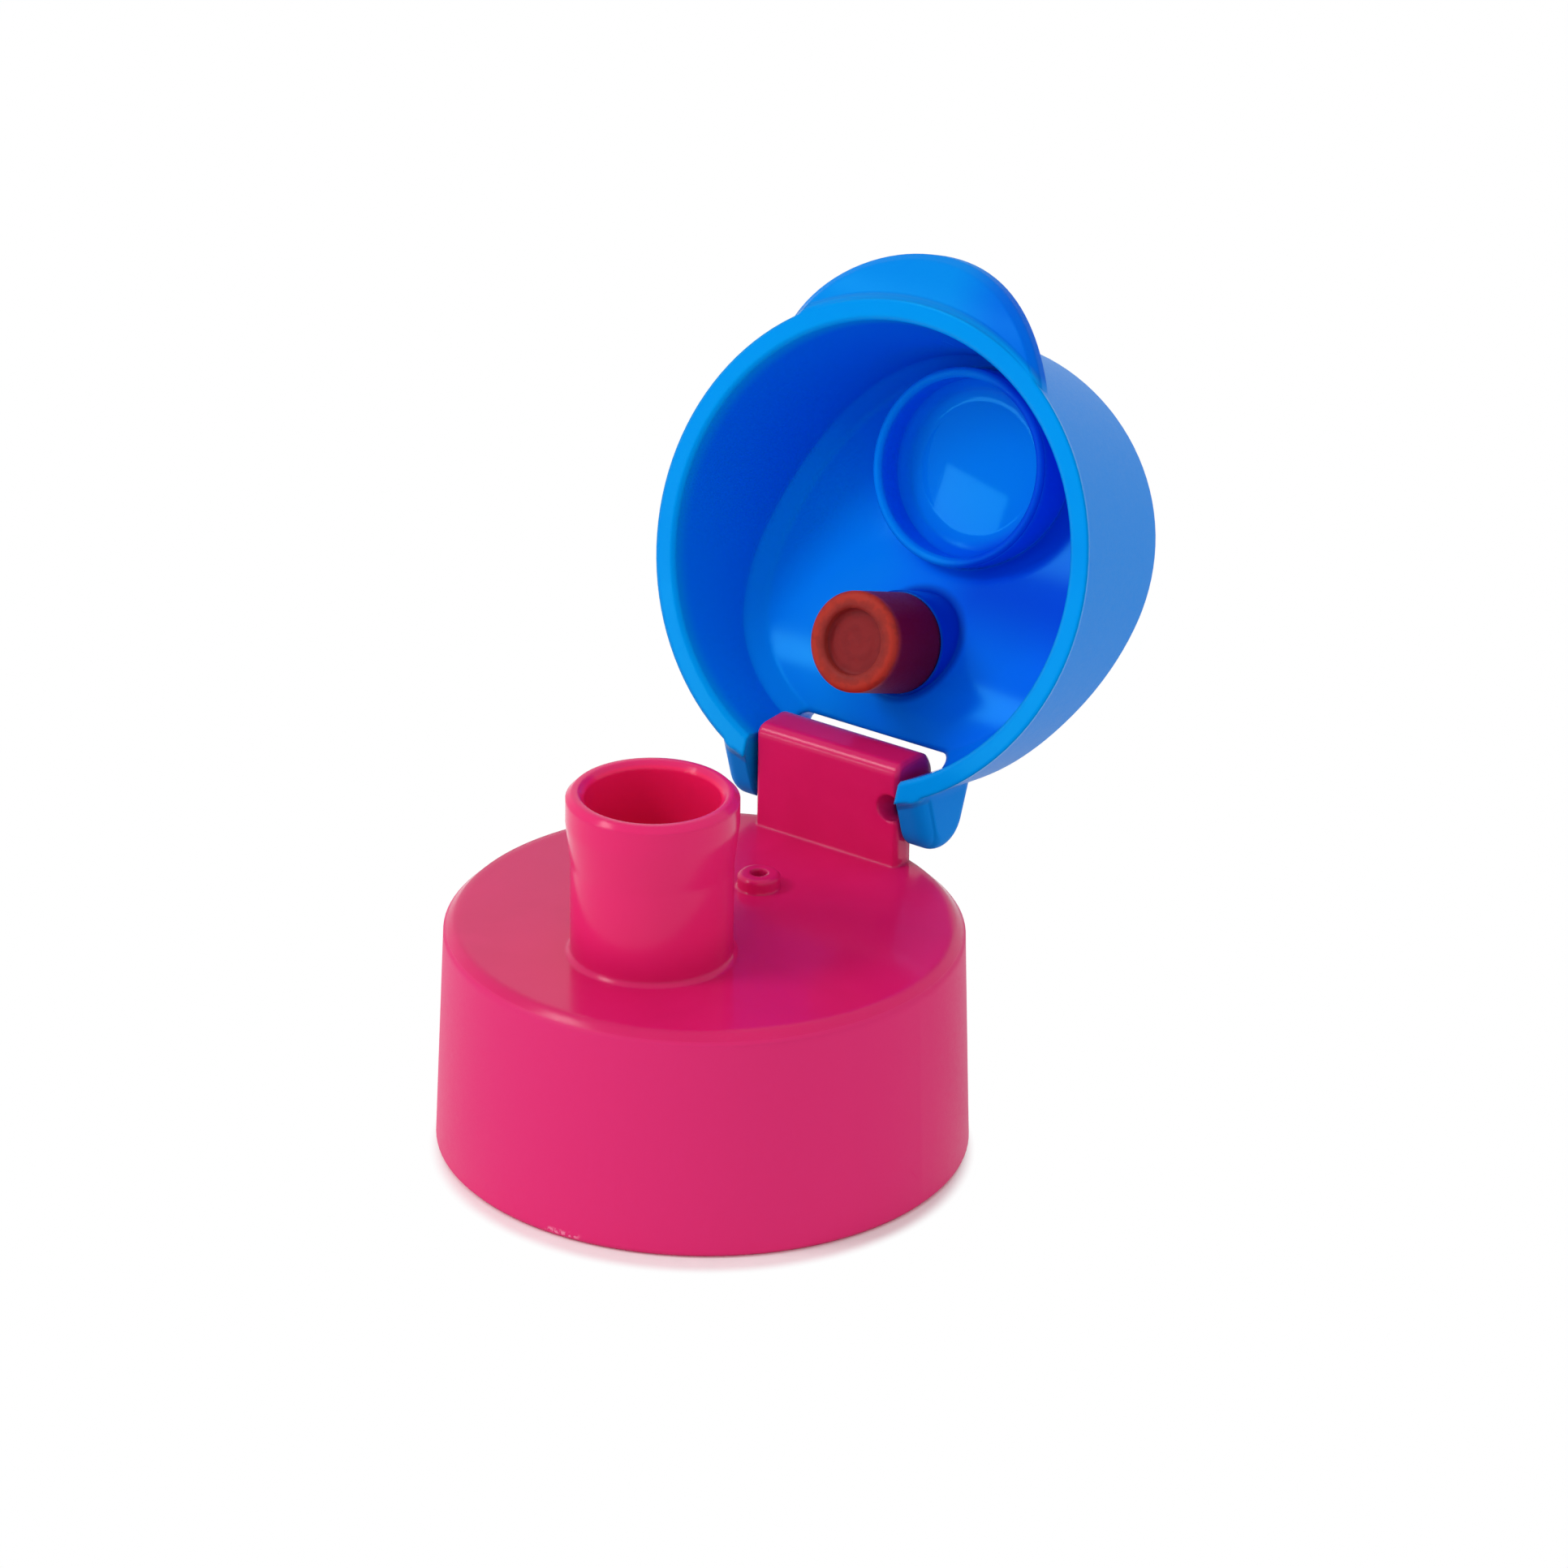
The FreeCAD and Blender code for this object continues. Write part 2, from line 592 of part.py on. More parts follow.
def build_ears():
    """Ears beside the post, drawn round the hinge axis and run straight into the cover's wall."""
    ears = new_body("hinge_ears")
    side = "Sizes.post_width / 2 + Sizes.hinge_side_gap"
    sketch = new_sketch(ears, "EarSide", "YZ_Plane", y="Sizes.cap_height", z=side)
    axis = FreeCAD.Vector(size("hinge_offset"), size("hinge_height"), 0)
    heel = FreeCAD.Vector(size("ear_heel"), 0, 0)
    reach = heel - axis
    tangent = math.atan2(reach.y, reach.x) + math.acos(size("ear_radius") / reach.Length)
    arc = draw_arc(sketch, ("Sizes.hinge_offset", "Sizes.hinge_height"), "Sizes.ear_radius",
                   tangent, math.pi / 2)
    low = sketch.Geometry[arc].StartPoint
    high = sketch.Geometry[arc].EndPoint
    root_top = FreeCAD.Vector(size("ear_root"), high.y, 0)
    root = FreeCAD.Vector(size("ear_root"), 0, 0)
    flank = draw_line(sketch, heel, low)
    crown = draw_line(sketch, high, root_top)
    inside = draw_line(sketch, root_top, root)
    base = draw_line(sketch, root, heel)
    constrain(sketch, (
        ("Tangent", flank, 2, arc, 1),
        ("Tangent", arc, 2, crown, 1),
        ("Coincident", crown, 2, inside, 1),
        ("Coincident", inside, 2, base, 1),
        ("Coincident", base, 2, flank, 1),
        ("Horizontal", crown),
        ("Vertical", inside),
    ))
    hold_point(sketch, base, 1, "Sizes.ear_root", "0")
    hold_point(sketch, base, 2, "Sizes.ear_heel", "0")
    ear = extrude(ears, "Pad", "Ear", sketch, "Sizes.ear_width")
    mirror(ears, "BothEars", [ear])
    outside = number(f"{side} + Sizes.ear_width")
    soften(ears, "Fillet", "EarRound", "Sizes.ear_round",
           lambda edge: lies_at_side(edge, outside) and edge.BoundBox.YMax > heel.x + NEAR)
    return ears


def build_pins(body):
    """Pins with bevelled ends, moulded on the ears' inner faces."""
    sketch = new_sketch(body, "PinCircle", "YZ_Plane", z="Sizes.post_width / 2 - Sizes.pin_reach")
    draw_circle(sketch, "Sizes.hinge_offset", "Sizes.cap_height + Sizes.hinge_height", "Sizes.pin_radius")
    pin = extrude(body, "Pad", "Pin", sketch, "Sizes.pin_reach + Sizes.hinge_side_gap + Sizes.ear_width / 2")
    mirror(body, "Pins", [pin])
    end = number("Sizes.post_width / 2 - Sizes.pin_reach")
    soften(body, "Chamfer", "PinBevel", "Sizes.pin_bevel", lambda edge: lies_at_side(edge, end))


def swing_open(body):
    """Turn a piece that is drawn shut about the hinge axis into its open place."""
    angle = "-Sizes.open_angle"
    y = "Sizes.hinge_offset"
    z = "(Sizes.cap_height + Sizes.hinge_height)"
    body.Placement = FreeCAD.Placement(FreeCAD.Vector(), FreeCAD.Rotation(FreeCAD.Vector(1, 0, 0), -1))
    body.setExpression("Placement.Rotation.Angle", angle)
    body.setExpression("Placement.Base.y", f"{y} * (1 - cos({angle})) + {z} * sin({angle})")
    body.setExpression("Placement.Base.z", f"{z} * (1 - cos({angle})) - {y} * sin({angle})")
    doc.recompute()


def build_flip_cover():
    """The whole blue moulding, drawn shut on the cap."""
    core = build_cover_core()
    tab = build_tab()
    ears = build_ears()
    body = new_body("flip_cover")
    build_dome(body, "Sizes.cover_radius", "0", "Sizes.roof_bevel")
    join(body, "Ears", ears, "Fuse")
    join(body, "Hollow", core, "Cut")
    soften(body, "Chamfer", "RimBevel", "Sizes.rim_bevel",
           lambda edge: is_circle(edge, number("Sizes.cover_radius - Sizes.cover_wall"), size("cap_height")))
    join(body, "Tab", tab, "Fuse")
    slot = new_sketch(body, "SlotPlan", "XY_Plane", z="Sizes.cap_height")
    half = "(Sizes.post_width / 2 + Sizes.hinge_side_gap)"
    back = "Sizes.hinge_offset + Sizes.ear_radius + Sizes.spare"
    draw_outline(slot, (
        (f"-{half}", "Sizes.slot_front"),
        (half, "Sizes.slot_front"),
        (half, back),
        (f"-{half}", back),
    ))
    extrude(body, "Pocket", "Slot", slot, "Sizes.crest_height", upward=True)
    soften(body, "Fillet", "SlotRound", "Sizes.slot_round",
           lambda edge: lies_at_side(edge, number(half)) and lies_at(edge, y=size("slot_front")))
    build_pins(body)
    return body


def build_vent_plug():
    """Silicone plug with a socket for the peg and a shallow recess that closes over the vent nipple."""
    body = new_body("vent_plug")
    sketch = new_sketch(body, "PlugSection", "YZ_Plane", x="Sizes.vent_offset",
                        y="Sizes.cap_height + Sizes.plug_lift")
    recess = "Sizes.vent_height + Sizes.plug_seat_gap - Sizes.plug_lift"
    socket = "Sizes.plug_length - Sizes.peg_length - Sizes.peg_end_gap"
    draw_outline(sketch, (
        ("Sizes.plug_recess_radius", "0"),
        ("Sizes.plug_radius", "0"),
        ("Sizes.plug_radius", "Sizes.plug_length"),
        ("Sizes.peg_radius", "Sizes.plug_length"),
        ("Sizes.peg_radius", socket),
        ("0", socket),
        ("0", recess),
        ("Sizes.plug_recess_radius", recess),
    ))
    revolve(body, "PlugTurned", sketch)
    end = number("Sizes.cap_height + Sizes.plug_lift")
    soften(body, "Chamfer", "PlugBevel", "Sizes.plug_bevel",
           lambda edge: is_circle(edge, size("plug_radius"), end, size("vent_offset")))
    return body


def build_bottle_seal():
    """Flat silicone ring against the cap's ceiling, inside the seat's wall."""
    body = new_body("bottle_seal")
    sketch = new_sketch(body, "SealRing", "XY_Plane", z="Sizes.cap_height - Sizes.top_wall")
    draw_circle(sketch, "0", "0", "Sizes.seal_radius")
    draw_circle(sketch, "0", "0", "Sizes.seal_radius - Sizes.seal_width")
    extrude(body, "Pad", "Seal", sketch, "Sizes.seal_thickness", upward=True)
    return body


def main():
    """Build every piece, check the document and write one file for each piece."""
    cap = build_screw_cap()
    seal = build_bottle_seal()
    cover = build_flip_cover()
    plug = build_vent_plug()
    swing_open(cover)
    swing_open(plug)
    for item in doc.Objects:
        if "Invalid" in item.State or "Error" in item.State:
            raise RuntimeError(f"{item.Name} did not build: {item.State}")
        if hasattr(item, "Shape") and (item.Shape.isNull() or not item.Shape.isValid()):
            raise RuntimeError(f"{item.Name} has no valid shape")
    pieces = (cap, seal, cover, plug)
    for piece in pieces:
        if len(piece.Shape.Solids) != 1:
            raise RuntimeError(f"{piece.Label} is not one solid")
    os.makedirs("parts", exist_ok=True)
    for piece in pieces:
        piece.Shape.exportStep(f"parts/{piece.Label}.step")
        box = piece.Shape.BoundBox
        corners = [round(edge, 2) for edge in (box.XMin, box.YMin, box.ZMin, box.XMax, box.YMax, box.ZMax)]
        print(piece.Label, "volume", round(piece.Shape.Volume, 1),
              "faces", len(piece.Shape.Faces), "box", corners)


main()
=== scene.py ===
# %% [markdown]
# # A bottle lid with a flip cover
#
# The object is a small lid for a drinking bottle: a pink screw cap with a spout and a vent nipple, and a
# blue domed cover that swings on a post at the back. A red plug in the cover shuts the vent.
# The solids come from the CAD part and stay where they are. This script gives them their plastics,
# adds the screw thread inside the cap, and sets up the floor, the light and the camera.

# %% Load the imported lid
import json
import math

import bmesh
import bpy
from mathutils import Matrix, Vector


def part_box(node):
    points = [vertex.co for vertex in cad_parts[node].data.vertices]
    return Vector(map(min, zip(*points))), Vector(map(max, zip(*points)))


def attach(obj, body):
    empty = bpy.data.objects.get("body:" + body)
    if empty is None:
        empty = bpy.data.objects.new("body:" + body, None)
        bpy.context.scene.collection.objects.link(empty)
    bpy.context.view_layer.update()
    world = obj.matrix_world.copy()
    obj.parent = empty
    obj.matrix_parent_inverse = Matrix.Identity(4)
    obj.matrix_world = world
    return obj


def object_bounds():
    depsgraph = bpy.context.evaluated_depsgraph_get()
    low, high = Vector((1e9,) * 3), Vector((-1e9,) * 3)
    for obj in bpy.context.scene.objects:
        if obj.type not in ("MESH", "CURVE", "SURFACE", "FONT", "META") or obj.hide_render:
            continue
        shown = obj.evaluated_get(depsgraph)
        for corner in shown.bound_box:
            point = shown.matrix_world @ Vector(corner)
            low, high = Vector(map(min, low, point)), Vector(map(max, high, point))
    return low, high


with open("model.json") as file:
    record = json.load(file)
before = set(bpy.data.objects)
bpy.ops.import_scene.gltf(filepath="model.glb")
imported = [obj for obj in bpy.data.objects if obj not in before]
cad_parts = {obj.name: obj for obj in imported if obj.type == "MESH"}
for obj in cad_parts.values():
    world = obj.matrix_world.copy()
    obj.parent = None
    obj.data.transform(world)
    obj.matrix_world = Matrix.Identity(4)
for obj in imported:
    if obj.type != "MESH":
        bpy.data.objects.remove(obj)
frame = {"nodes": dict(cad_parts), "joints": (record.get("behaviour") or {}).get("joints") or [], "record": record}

MM = 0.001
cad_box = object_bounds()
print("pieces:", ", ".join(sorted(frame["nodes"])))

# %% [markdown]
# ## Sizes of the part
#
# The finishes and the thread follow the shape, so they need some of the part's sizes, all in millimetres.
# What a piece's box, the mount or the joint can tell is read from there. The others, such as where the
# spout, the ring and the plug stand, are the part's own sizes written down again.

# %% Read the sizes
cap_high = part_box("screw_cap")[1]
cover_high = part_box("flip_cover")[1]
seal_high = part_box("bottle_seal")[1]
plug_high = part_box("vent_plug")[1]
neck = frame["record"]["mounts"][0]
hinge = frame["joints"][0]

TOP_WALL = 2.4
FOOT_RADIUS = cap_high.x / MM
BORE_RADIUS = neck["dims"]["r_mm"]
CAP_TOP = seal_high.z / MM + TOP_WALL
SPOUT_TOP = cap_high.z / MM
SPOUT_AXIS_Y = -8.67
SPOUT_BORE = 6.52

COVER_RADIUS = cover_high.x / MM
COVER_WALL = 2.05
COVER_LEAN = math.tan(math.radians(9.8))
RING_AXIS_Y = -8.87
RING_RADIUS = 8.92
RING_WALL = 1.0
RING_DEPTH = 4.23
LIP_GAP = 0.3
RING_FLOOR = SPOUT_TOP + LIP_GAP
RING_LIP = RING_FLOOR - RING_DEPTH

PLUG_AXIS_Y = 9.0
PLUG_RADIUS = plug_high.x / MM
PLUG_GAP = 0.67
PLUG_END = CAP_TOP + PLUG_GAP

HINGE_PLACE = Vector(hinge["pos_m"]) / MM
SHUT_ANGLE = math.radians(hinge["range_deg"][0])
print(f"foot radius {FOOT_RADIUS:.2f} mm, bore radius {BORE_RADIUS:.2f} mm, cap top {CAP_TOP:.2f} mm")
print(f"cover radius {COVER_RADIUS:.2f} mm, plug radius {PLUG_RADIUS:.2f} mm, spout top {SPOUT_TOP:.2f} mm")

# %% [markdown]
# ## A small helper for shader nodes
#
# A material in Blender is a graph of nodes. Written out in full, each node takes several lines, so this
# helper adds one node, fills in its inputs and joins it up in a single call. An input may be a plain value
# or the output of an earlier node. Most of a finish is made of masks: values from 0 to 1 that say where
# something is. A mask fades over a band, a pair of values where the fading starts and ends. Colours are
# given as a screen shows them, and the sRGB curve turns them into the linear values that shaders use.

# %% Node helper
SRGB_KNEE = 0.04045
SRGB_SLOPE = 12.92
SRGB_LIFT = 0.055
SRGB_POWER = 2.4
FULL_LEVEL = 255


class Graph:
    """The nodes of one material or one group."""

    def __init__(self, tree):
        self.tree = tree
        self.tree.nodes.clear()

    def add(self, kind, inputs=None, **settings):
        """Add a node, apply its settings and fill in its inputs by name or by number."""
        node = self.tree.nodes.new(kind)
        for name, value in settings.items():
            setattr(node, name, value)
        for name, value in (inputs or {}).items():
            self.feed(node.inputs[name], value)
        return node

    def feed(self, socket, value):
        """Join an output to a socket, or set the socket to a value."""
        if isinstance(value, bpy.types.NodeSocket):
            self.tree.links.new(value, socket)
        else:
            socket.default_value = value

    def group(self, tree, **inputs):
        """Place a node group and fill in its inputs, with spaces for underscores in their names."""
        node = self.add("ShaderNodeGroup", node_tree=tree)
        for name, value in inputs.items():
            self.feed(node.inputs[name.replace("_", " ")], value)
        return node.outputs

    def noise(self, place, scale, detail, **more):
        """Cloudy noise from 0 to 1, its spots about 1 / scale apart."""
        inputs = {"Vector": place, "Scale": scale, "Detail": detail, **more}
        return self.add("ShaderNodeTexNoise", inputs).outputs[0]

    def split(self, vector):
        """The x, y and z of a vector."""
        node = self.add("ShaderNodeSeparateXYZ", {0: vector})
        return node.outputs[0], node.outputs[1], node.outputs[2]

    def math(self, operation, *values, clamp=False):
        """One step of arithmetic."""
        node = self.add("ShaderNodeMath", dict(enumerate(values)), operation=operation, use_clamp=clamp)
        return node.outputs[0]

    def product(self, first, *others):
        """Multiply values. Masks are multiplied to find where all of them hold."""
        for value in others:
            first = self.math("MULTIPLY", first, value)
        return first

    def either(self, first, second):
        """A mask for where at least one of two masks holds."""
        return self.math("MAXIMUM", first, second)

    def rest_of(self, mask):
        """A mask for everything that another mask leaves."""
        return self.math("SUBTRACT", 1.0, mask)

    def around(self, middle, amount, variation):
        """A middle value, plus an amount of some variation."""
        return self.math("MULTIPLY_ADD", variation, amount, middle)

    def ramp(self, value, band, to_low, to_high):
        """Map the values across a band smoothly to another range."""
        inputs = {"Value": value, "From Min": band[0], "From Max": band[1],
                  "To Min": to_low, "To Max": to_high}
        return self.add("ShaderNodeMapRange", inputs, interpolation_type="SMOOTHSTEP").outputs["Result"]

    def rise(self, value, band):
        """A mask that fades in as a value crosses a band."""
        return self.ramp(value, band, 0.0, 1.0)

    def fall(self, value, band):
        """A mask that fades out as a value crosses a band."""
        return self.ramp(value, band, 1.0, 0.0)

    def level(self, mask, first, second):
        """Go from one plain value to another where a mask says."""
        return self.math("ADD", self.product(first, self.rest_of(mask)), self.product(second, mask))

    def blend(self, amount, first, second):
        """Blend two colours."""
        node = self.add("ShaderNodeMix", {0: amount, 6: first, 7: second}, data_type="RGBA")
        return node.outputs[2]

    def paint(self, base, *layers):
        """Lay colours over a base, one after another, each where its mask says."""
        for mask, layer in layers:
            base = self.blend(mask, base, layer)
        return base


def colour(red, green, blue):
    """A colour given as it looks on a screen, 0 to 255, turned into the linear values of a shader."""
    def linear(level):
        level = level / FULL_LEVEL
        if level <= SRGB_KNEE:
            return level / SRGB_SLOPE
        return ((level + SRGB_LIFT) / (1 + SRGB_LIFT)) ** SRGB_POWER
    return (linear(red), linear(green), linear(blue), 1.0)


def band(size, start, end):
    """The band that starts and ends at given distances from a size."""
    return (size + start, size + end)


def new_group(name, inputs, outputs):
    """Start a shader node group with named sockets and give its tree and its graph."""
    tree = bpy.data.node_groups.new(name, "ShaderNodeTree")
    for socket, kind, value in inputs:
        entry = tree.interface.new_socket(name=socket, in_out="INPUT", socket_type=f"NodeSocket{kind}")
        if kind == "Float":
            entry.default_value = value
    for socket, kind in outputs:
        tree.interface.new_socket(name=socket, in_out="OUTPUT", socket_type=f"NodeSocket{kind}")
    return tree, Graph(tree)


# %% [markdown]
# ## Effect: the fine grain of a spark-eroded mould
#
# The skirt and the outside of the cover aren't polished. The mould maker leaves a fine, even grain there,
# which hides fingerprints. Two layers of noise, one a fraction of a millimetre and one coarser, give its
# height, and the same noise spreads the roughness a little. Several plastics use it, so it is a group.

# %% Grain group
FINE_SHARE = 0.7
COARSE_SHARE = 0.3
COARSE_SCALE = 0.22
MIDDLE_OF_NOISE = (0.3, 0.7)

grain, g = new_group("mould_grain",
                     [("Place", "Vector", None), ("Grain Size", "Float", 0.25), ("Depth", "Float", 1.0)],
                     [("Height", "Float"), ("Spread", "Float")])
entry = g.add("NodeGroupInput").outputs
fine_scale = g.math("DIVIDE", 1.0, entry["Grain Size"])
fine = g.noise(entry["Place"], fine_scale, detail=3.0, Roughness=0.6)
coarse = g.noise(entry["Place"], g.product(fine_scale, COARSE_SCALE), detail=2.0)
both = g.math("ADD", g.product(fine, FINE_SHARE), g.product(coarse, COARSE_SHARE))
g.add("NodeGroupOutput", {"Height": g.product(both, entry["Depth"]),
                          "Spread": g.ramp(both, MIDDLE_OF_NOISE, -0.5, 0.5)})
print("group made:", grain.name)

# %% [markdown]
# ## Effect: flow and sink
#
# Molten plastic fills a mould from one spot and cools unevenly. The colour varies by a few percent in broad
# streaks, and a polished surface is never quite flat, which bends its reflections. This group gives a slow
# variation for the colour and a very low, wide wave for the height.

# %% Flow group
SINK_SCALE = 1.7

flow, g = new_group("moulded_flow",
                    [("Place", "Vector", None), ("Width", "Float", 12.0), ("Wave", "Float", 1.0)],
                    [("Tint", "Float"), ("Height", "Float")])
entry = g.add("NodeGroupInput").outputs
streak_scale = g.math("DIVIDE", 1.0, entry["Width"])
streaks = g.noise(entry["Place"], streak_scale, detail=3.0, Distortion=1.2)
sink = g.noise(entry["Place"], g.product(streak_scale, SINK_SCALE), detail=1.0)
g.add("NodeGroupOutput", {"Tint": g.rise(streaks, MIDDLE_OF_NOISE),
                          "Height": g.product(sink, entry["Wave"])})
print("group made:", flow.name)

# %% [markdown]
# ## Effect: light handling marks
#
# A lid gets wiped and turned by hand, which leaves a few hair-fine scratches that only show as a change of
# shine. A stretched cell pattern cut at a low distance gives thin lines, and a slow noise keeps them in
# patches.

# %% Scratch group
SCRATCH_TILT = (0.5, 0.3, 0.9)
SCRATCH_STRETCH = (1.0, 0.16, 0.5)
SCRATCH_WIDTH = 0.02
PATCH_SCALE = 0.12
PATCH_START = 0.75
PATCH_END = 0.8
PATCH_SPREAD = -0.3

scratches, g = new_group("handling_marks",
                         [("Place", "Vector", None), ("Spacing", "Float", 3.0), ("Amount", "Float", 0.5)],
                         [("Mask", "Float")])
entry = g.add("NodeGroupInput").outputs
tilted = g.add("ShaderNodeMapping",
               {"Vector": entry["Place"], "Rotation": SCRATCH_TILT, "Scale": SCRATCH_STRETCH}).outputs[0]
cells = g.add("ShaderNodeTexVoronoi", {"Vector": tilted, "Scale": g.math("DIVIDE", 1.0, entry["Spacing"])},
              feature="DISTANCE_TO_EDGE").outputs["Distance"]
patches = g.noise(entry["Place"], PATCH_SCALE, detail=2.0)
where = g.rise(patches, (g.around(PATCH_START, PATCH_SPREAD, entry["Amount"]), PATCH_END))
g.add("NodeGroupOutput", {"Mask": g.product(g.fall(cells, (0.0, SCRATCH_WIDTH)), where)})
print("group made:", scratches.name)

# %% [markdown]
# ## Where a point lies on its piece
#
# The finishes follow the shape: satin on the skirt, gloss above the shoulder. So each material needs to know
# where it is on its piece, in millimetres. The cover was moulded shut and stands open here, so its
# materials first turn the place back about the hinge. The coordinates are the piece's own, which keeps the
# pattern in place when the cover swings.

# %% Place helpers
def own_place(graph):
    """The place of a point on its piece, in millimetres."""
    source = graph.add("ShaderNodeTexCoord").outputs["Object"]
    return graph.add("ShaderNodeVectorMath", {0: source, 3: 1 / MM}, operation="SCALE").outputs[0]


def own_facing(graph):
    """The direction that the surface faces, in the piece's own axes."""
    return graph.add("ShaderNodeTexCoord").outputs["Normal"]


def turned_shut(graph, vector, centre=(0.0, 0.0, 0.0)):
    """A place or a direction on the open cover, as it is with the cover shut."""
    inputs = {"Vector": vector, "Center": centre, "Angle": SHUT_ANGLE}
    return graph.add("ShaderNodeVectorRotate", inputs, rotation_type="X_AXIS", invert=True).outputs[0]


def distance_from_axis(graph, x, y, centre_y=0.0):
    """Distance from an upright axis at centre_y."""
    across = graph.math("SUBTRACT", y, centre_y)
    return graph.math("SQRT", graph.math("ADD", graph.product(x, x), graph.product(across, across)))


# %% [markdown]
# ## From a finish to a material
#
# All the pieces are plastic or rubber, so they end in the same way: colour, roughness and relief go into one
# surface shader. Real mouldings have no sharp edges, so a bevel node bends the light at every edge as a
# small round would. The plastics also let some light in, which softens the change from light to shade.
# Relief and grain are in millimetres, and the radii that the bevel and the light need are in metres.

# %% Material helpers
GRAIN_SIZE = 0.16
GRAIN_DEPTH = 0.012
FLOW_SHARE = 0.5
MARK_ROUGHNESS = 0.12
EDGE = 0.5 * MM
BEVEL_SAMPLES = 8
PLASTIC_IOR = 1.47
SILICONE_IOR = 1.42
WHITE = (1.0, 1.0, 1.0, 1.0)


def new_material(name):
    """Start a material and give it with its graph."""
    material = bpy.data.materials.new(name)
    material.use_nodes = True
    return material, Graph(material.node_tree)


def finish_surface(graph, base, roughness, height, edge, ior=PLASTIC_IOR, shine=0.5, shine_tint=WHITE):
    """Join colour, roughness and relief in millimetres to a plastic whose edges look softened by a radius."""
    soft = graph.add("ShaderNodeBevel", {"Radius": edge}, samples=BEVEL_SAMPLES)
    bump = graph.add("ShaderNodeBump", {"Strength": 1.0, "Distance": MM, "Height": height,
                                        "Normal": soft.outputs[0]})
    surface = graph.add("ShaderNodeBsdfPrincipled", {
        "Base Color": base, "Roughness": roughness, "Normal": bump.outputs[0],
        "IOR": ior, "Specular IOR Level": shine, "Specular Tint": shine_tint})
    graph.add("ShaderNodeOutputMaterial", {"Surface": surface.outputs[0]})
    return surface


def let_light_in(surface, weight, reach, depth):
    """Let a share of the light into the plastic, as deep as each of red, green and blue reaches."""
    surface.inputs["Subsurface Weight"].default_value = weight
    surface.inputs["Subsurface Radius"].default_value = reach
    surface.inputs["Subsurface Scale"].default_value = depth


def dress(node, material):
    """Put a material on every slot of a CAD piece."""
    piece = frame["nodes"][node]
    if not piece.material_slots:
        piece.data.materials.append(material)
    for slot in piece.material_slots:
        slot.material = material
    print(node, "wears", material.name)


# %% [markdown]
# ## Material: the pink moulding
#
# The cap is one polypropylene moulding in two finishes. Its top, spout and post come off a polished mould
# and reflect the room; its skirt has the fine grain. The skirt's mask is worked out from the height and the
# distance from the cap's axis. The spout is painted a little lighter than the rest, as painted light, and
# the inside of its mouth is painted lighter too, as painted light against the shade down the bore. The
# edges of its flare and of the cap's shoulder are rounder. A scuffed stretch at the lower front edge, where
# the lid was set down hard, is a short band of pale specks. In the names below, a foot, a head or a height
# is measured along the axis, and a side is a distance from it.

# %% Pink plastic
PINK = colour(216, 26, 102)
PINK_DEEP = colour(204, 22, 92)
PINK_SKIRT = colour(222, 36, 112)
# Painted light: the spout is painted a lighter pink.
PINK_SPOUT_PAINTED_LIGHT = colour(228, 34, 108)
# Painted light: the inside of the spout's mouth is painted lighter against the shade down the bore.
PINK_MOUTH_PAINTED_LIGHT = colour(242, 28, 96)
PINK_SCUFF = colour(246, 150, 182)

SKIRT_HEAD = band(CAP_TOP, -0.95, -0.55)
SKIRT_SIDE = band(FOOT_RADIUS, -1.9, -1.5)
STEM_SIDE = band(SPOUT_BORE, 2.4, 3.0)
STEM_FOOT = band(CAP_TOP, 1.0, 5.0)
MOUTH_SIDE = band(SPOUT_BORE, 0.1, 0.4)
MOUTH_FOOT = band(CAP_TOP, -1.0, 1.0)
FLARE_SIDE = band(SPOUT_BORE, 2.0, 2.4)
FLARE_FOOT = band(SPOUT_TOP, -9.2, -8.2)
FLARE_HEAD = band(SPOUT_TOP, -2.3, -1.7)
SHOULDER_FOOT = band(CAP_TOP, -2.4, -1.6)
SHOULDER_SIDE = band(FOOT_RADIUS, -3.4, -2.8)

SCUFF_X = 2.1
SCUFF_HALF_LENGTH = 2.3
SCUFF_ENDS = (0.55, 1.0)
SCUFF_FOOT = (0.35, 0.5)
SCUFF_HEAD = (0.7, 1.05)
SCUFF_FRONT = (-0.9 * FOOT_RADIUS, -0.85 * FOOT_RADIUS)
SCUFF_SPECKS = (0.42, 0.6)
SCUFF_COVER = 0.7
SCUFF_DEPTH = 0.03

PINK_GLOSS, PINK_GLOSS_SPREAD = 0.15, 0.04
PINK_SATIN, PINK_SATIN_SPREAD = 0.46, 0.08
PINK_SINK = 0.03
PINK_WIDER_EDGE = 0.7 * MM

pink, g = new_material("pink_polypropylene")
place = own_place(g)
x, y, z = g.split(place)
radius = distance_from_axis(g, x, y)
from_spout = distance_from_axis(g, x, y, SPOUT_AXIS_Y)
skirt = g.product(g.fall(z, SKIRT_HEAD), g.rise(radius, SKIRT_SIDE))
# Painted light on the spout's stem.
stem_painted_light = g.product(g.fall(from_spout, STEM_SIDE), g.rise(z, STEM_FOOT))
# Painted light inside the spout's mouth.
mouth_painted_light = g.product(g.fall(from_spout, MOUTH_SIDE), g.rise(z, MOUTH_FOOT))

along = g.math("ABSOLUTE", g.math("DIVIDE", g.math("SUBTRACT", x, SCUFF_X), SCUFF_HALF_LENGTH))
specks = g.noise(place, scale=2.2, detail=2.0)
scuff = g.product(g.fall(along, SCUFF_ENDS), g.rise(z, SCUFF_FOOT), g.fall(z, SCUFF_HEAD),
                  g.fall(y, SCUFF_FRONT), g.rise(specks, SCUFF_SPECKS))

grained = g.group(grain, Place=place, Grain_Size=GRAIN_SIZE, Depth=skirt)
flowed = g.group(flow, Place=place, Width=16.0, Wave=g.rest_of(skirt))
marked = g.group(scratches, Place=place, Spacing=2.4, Amount=0.45)

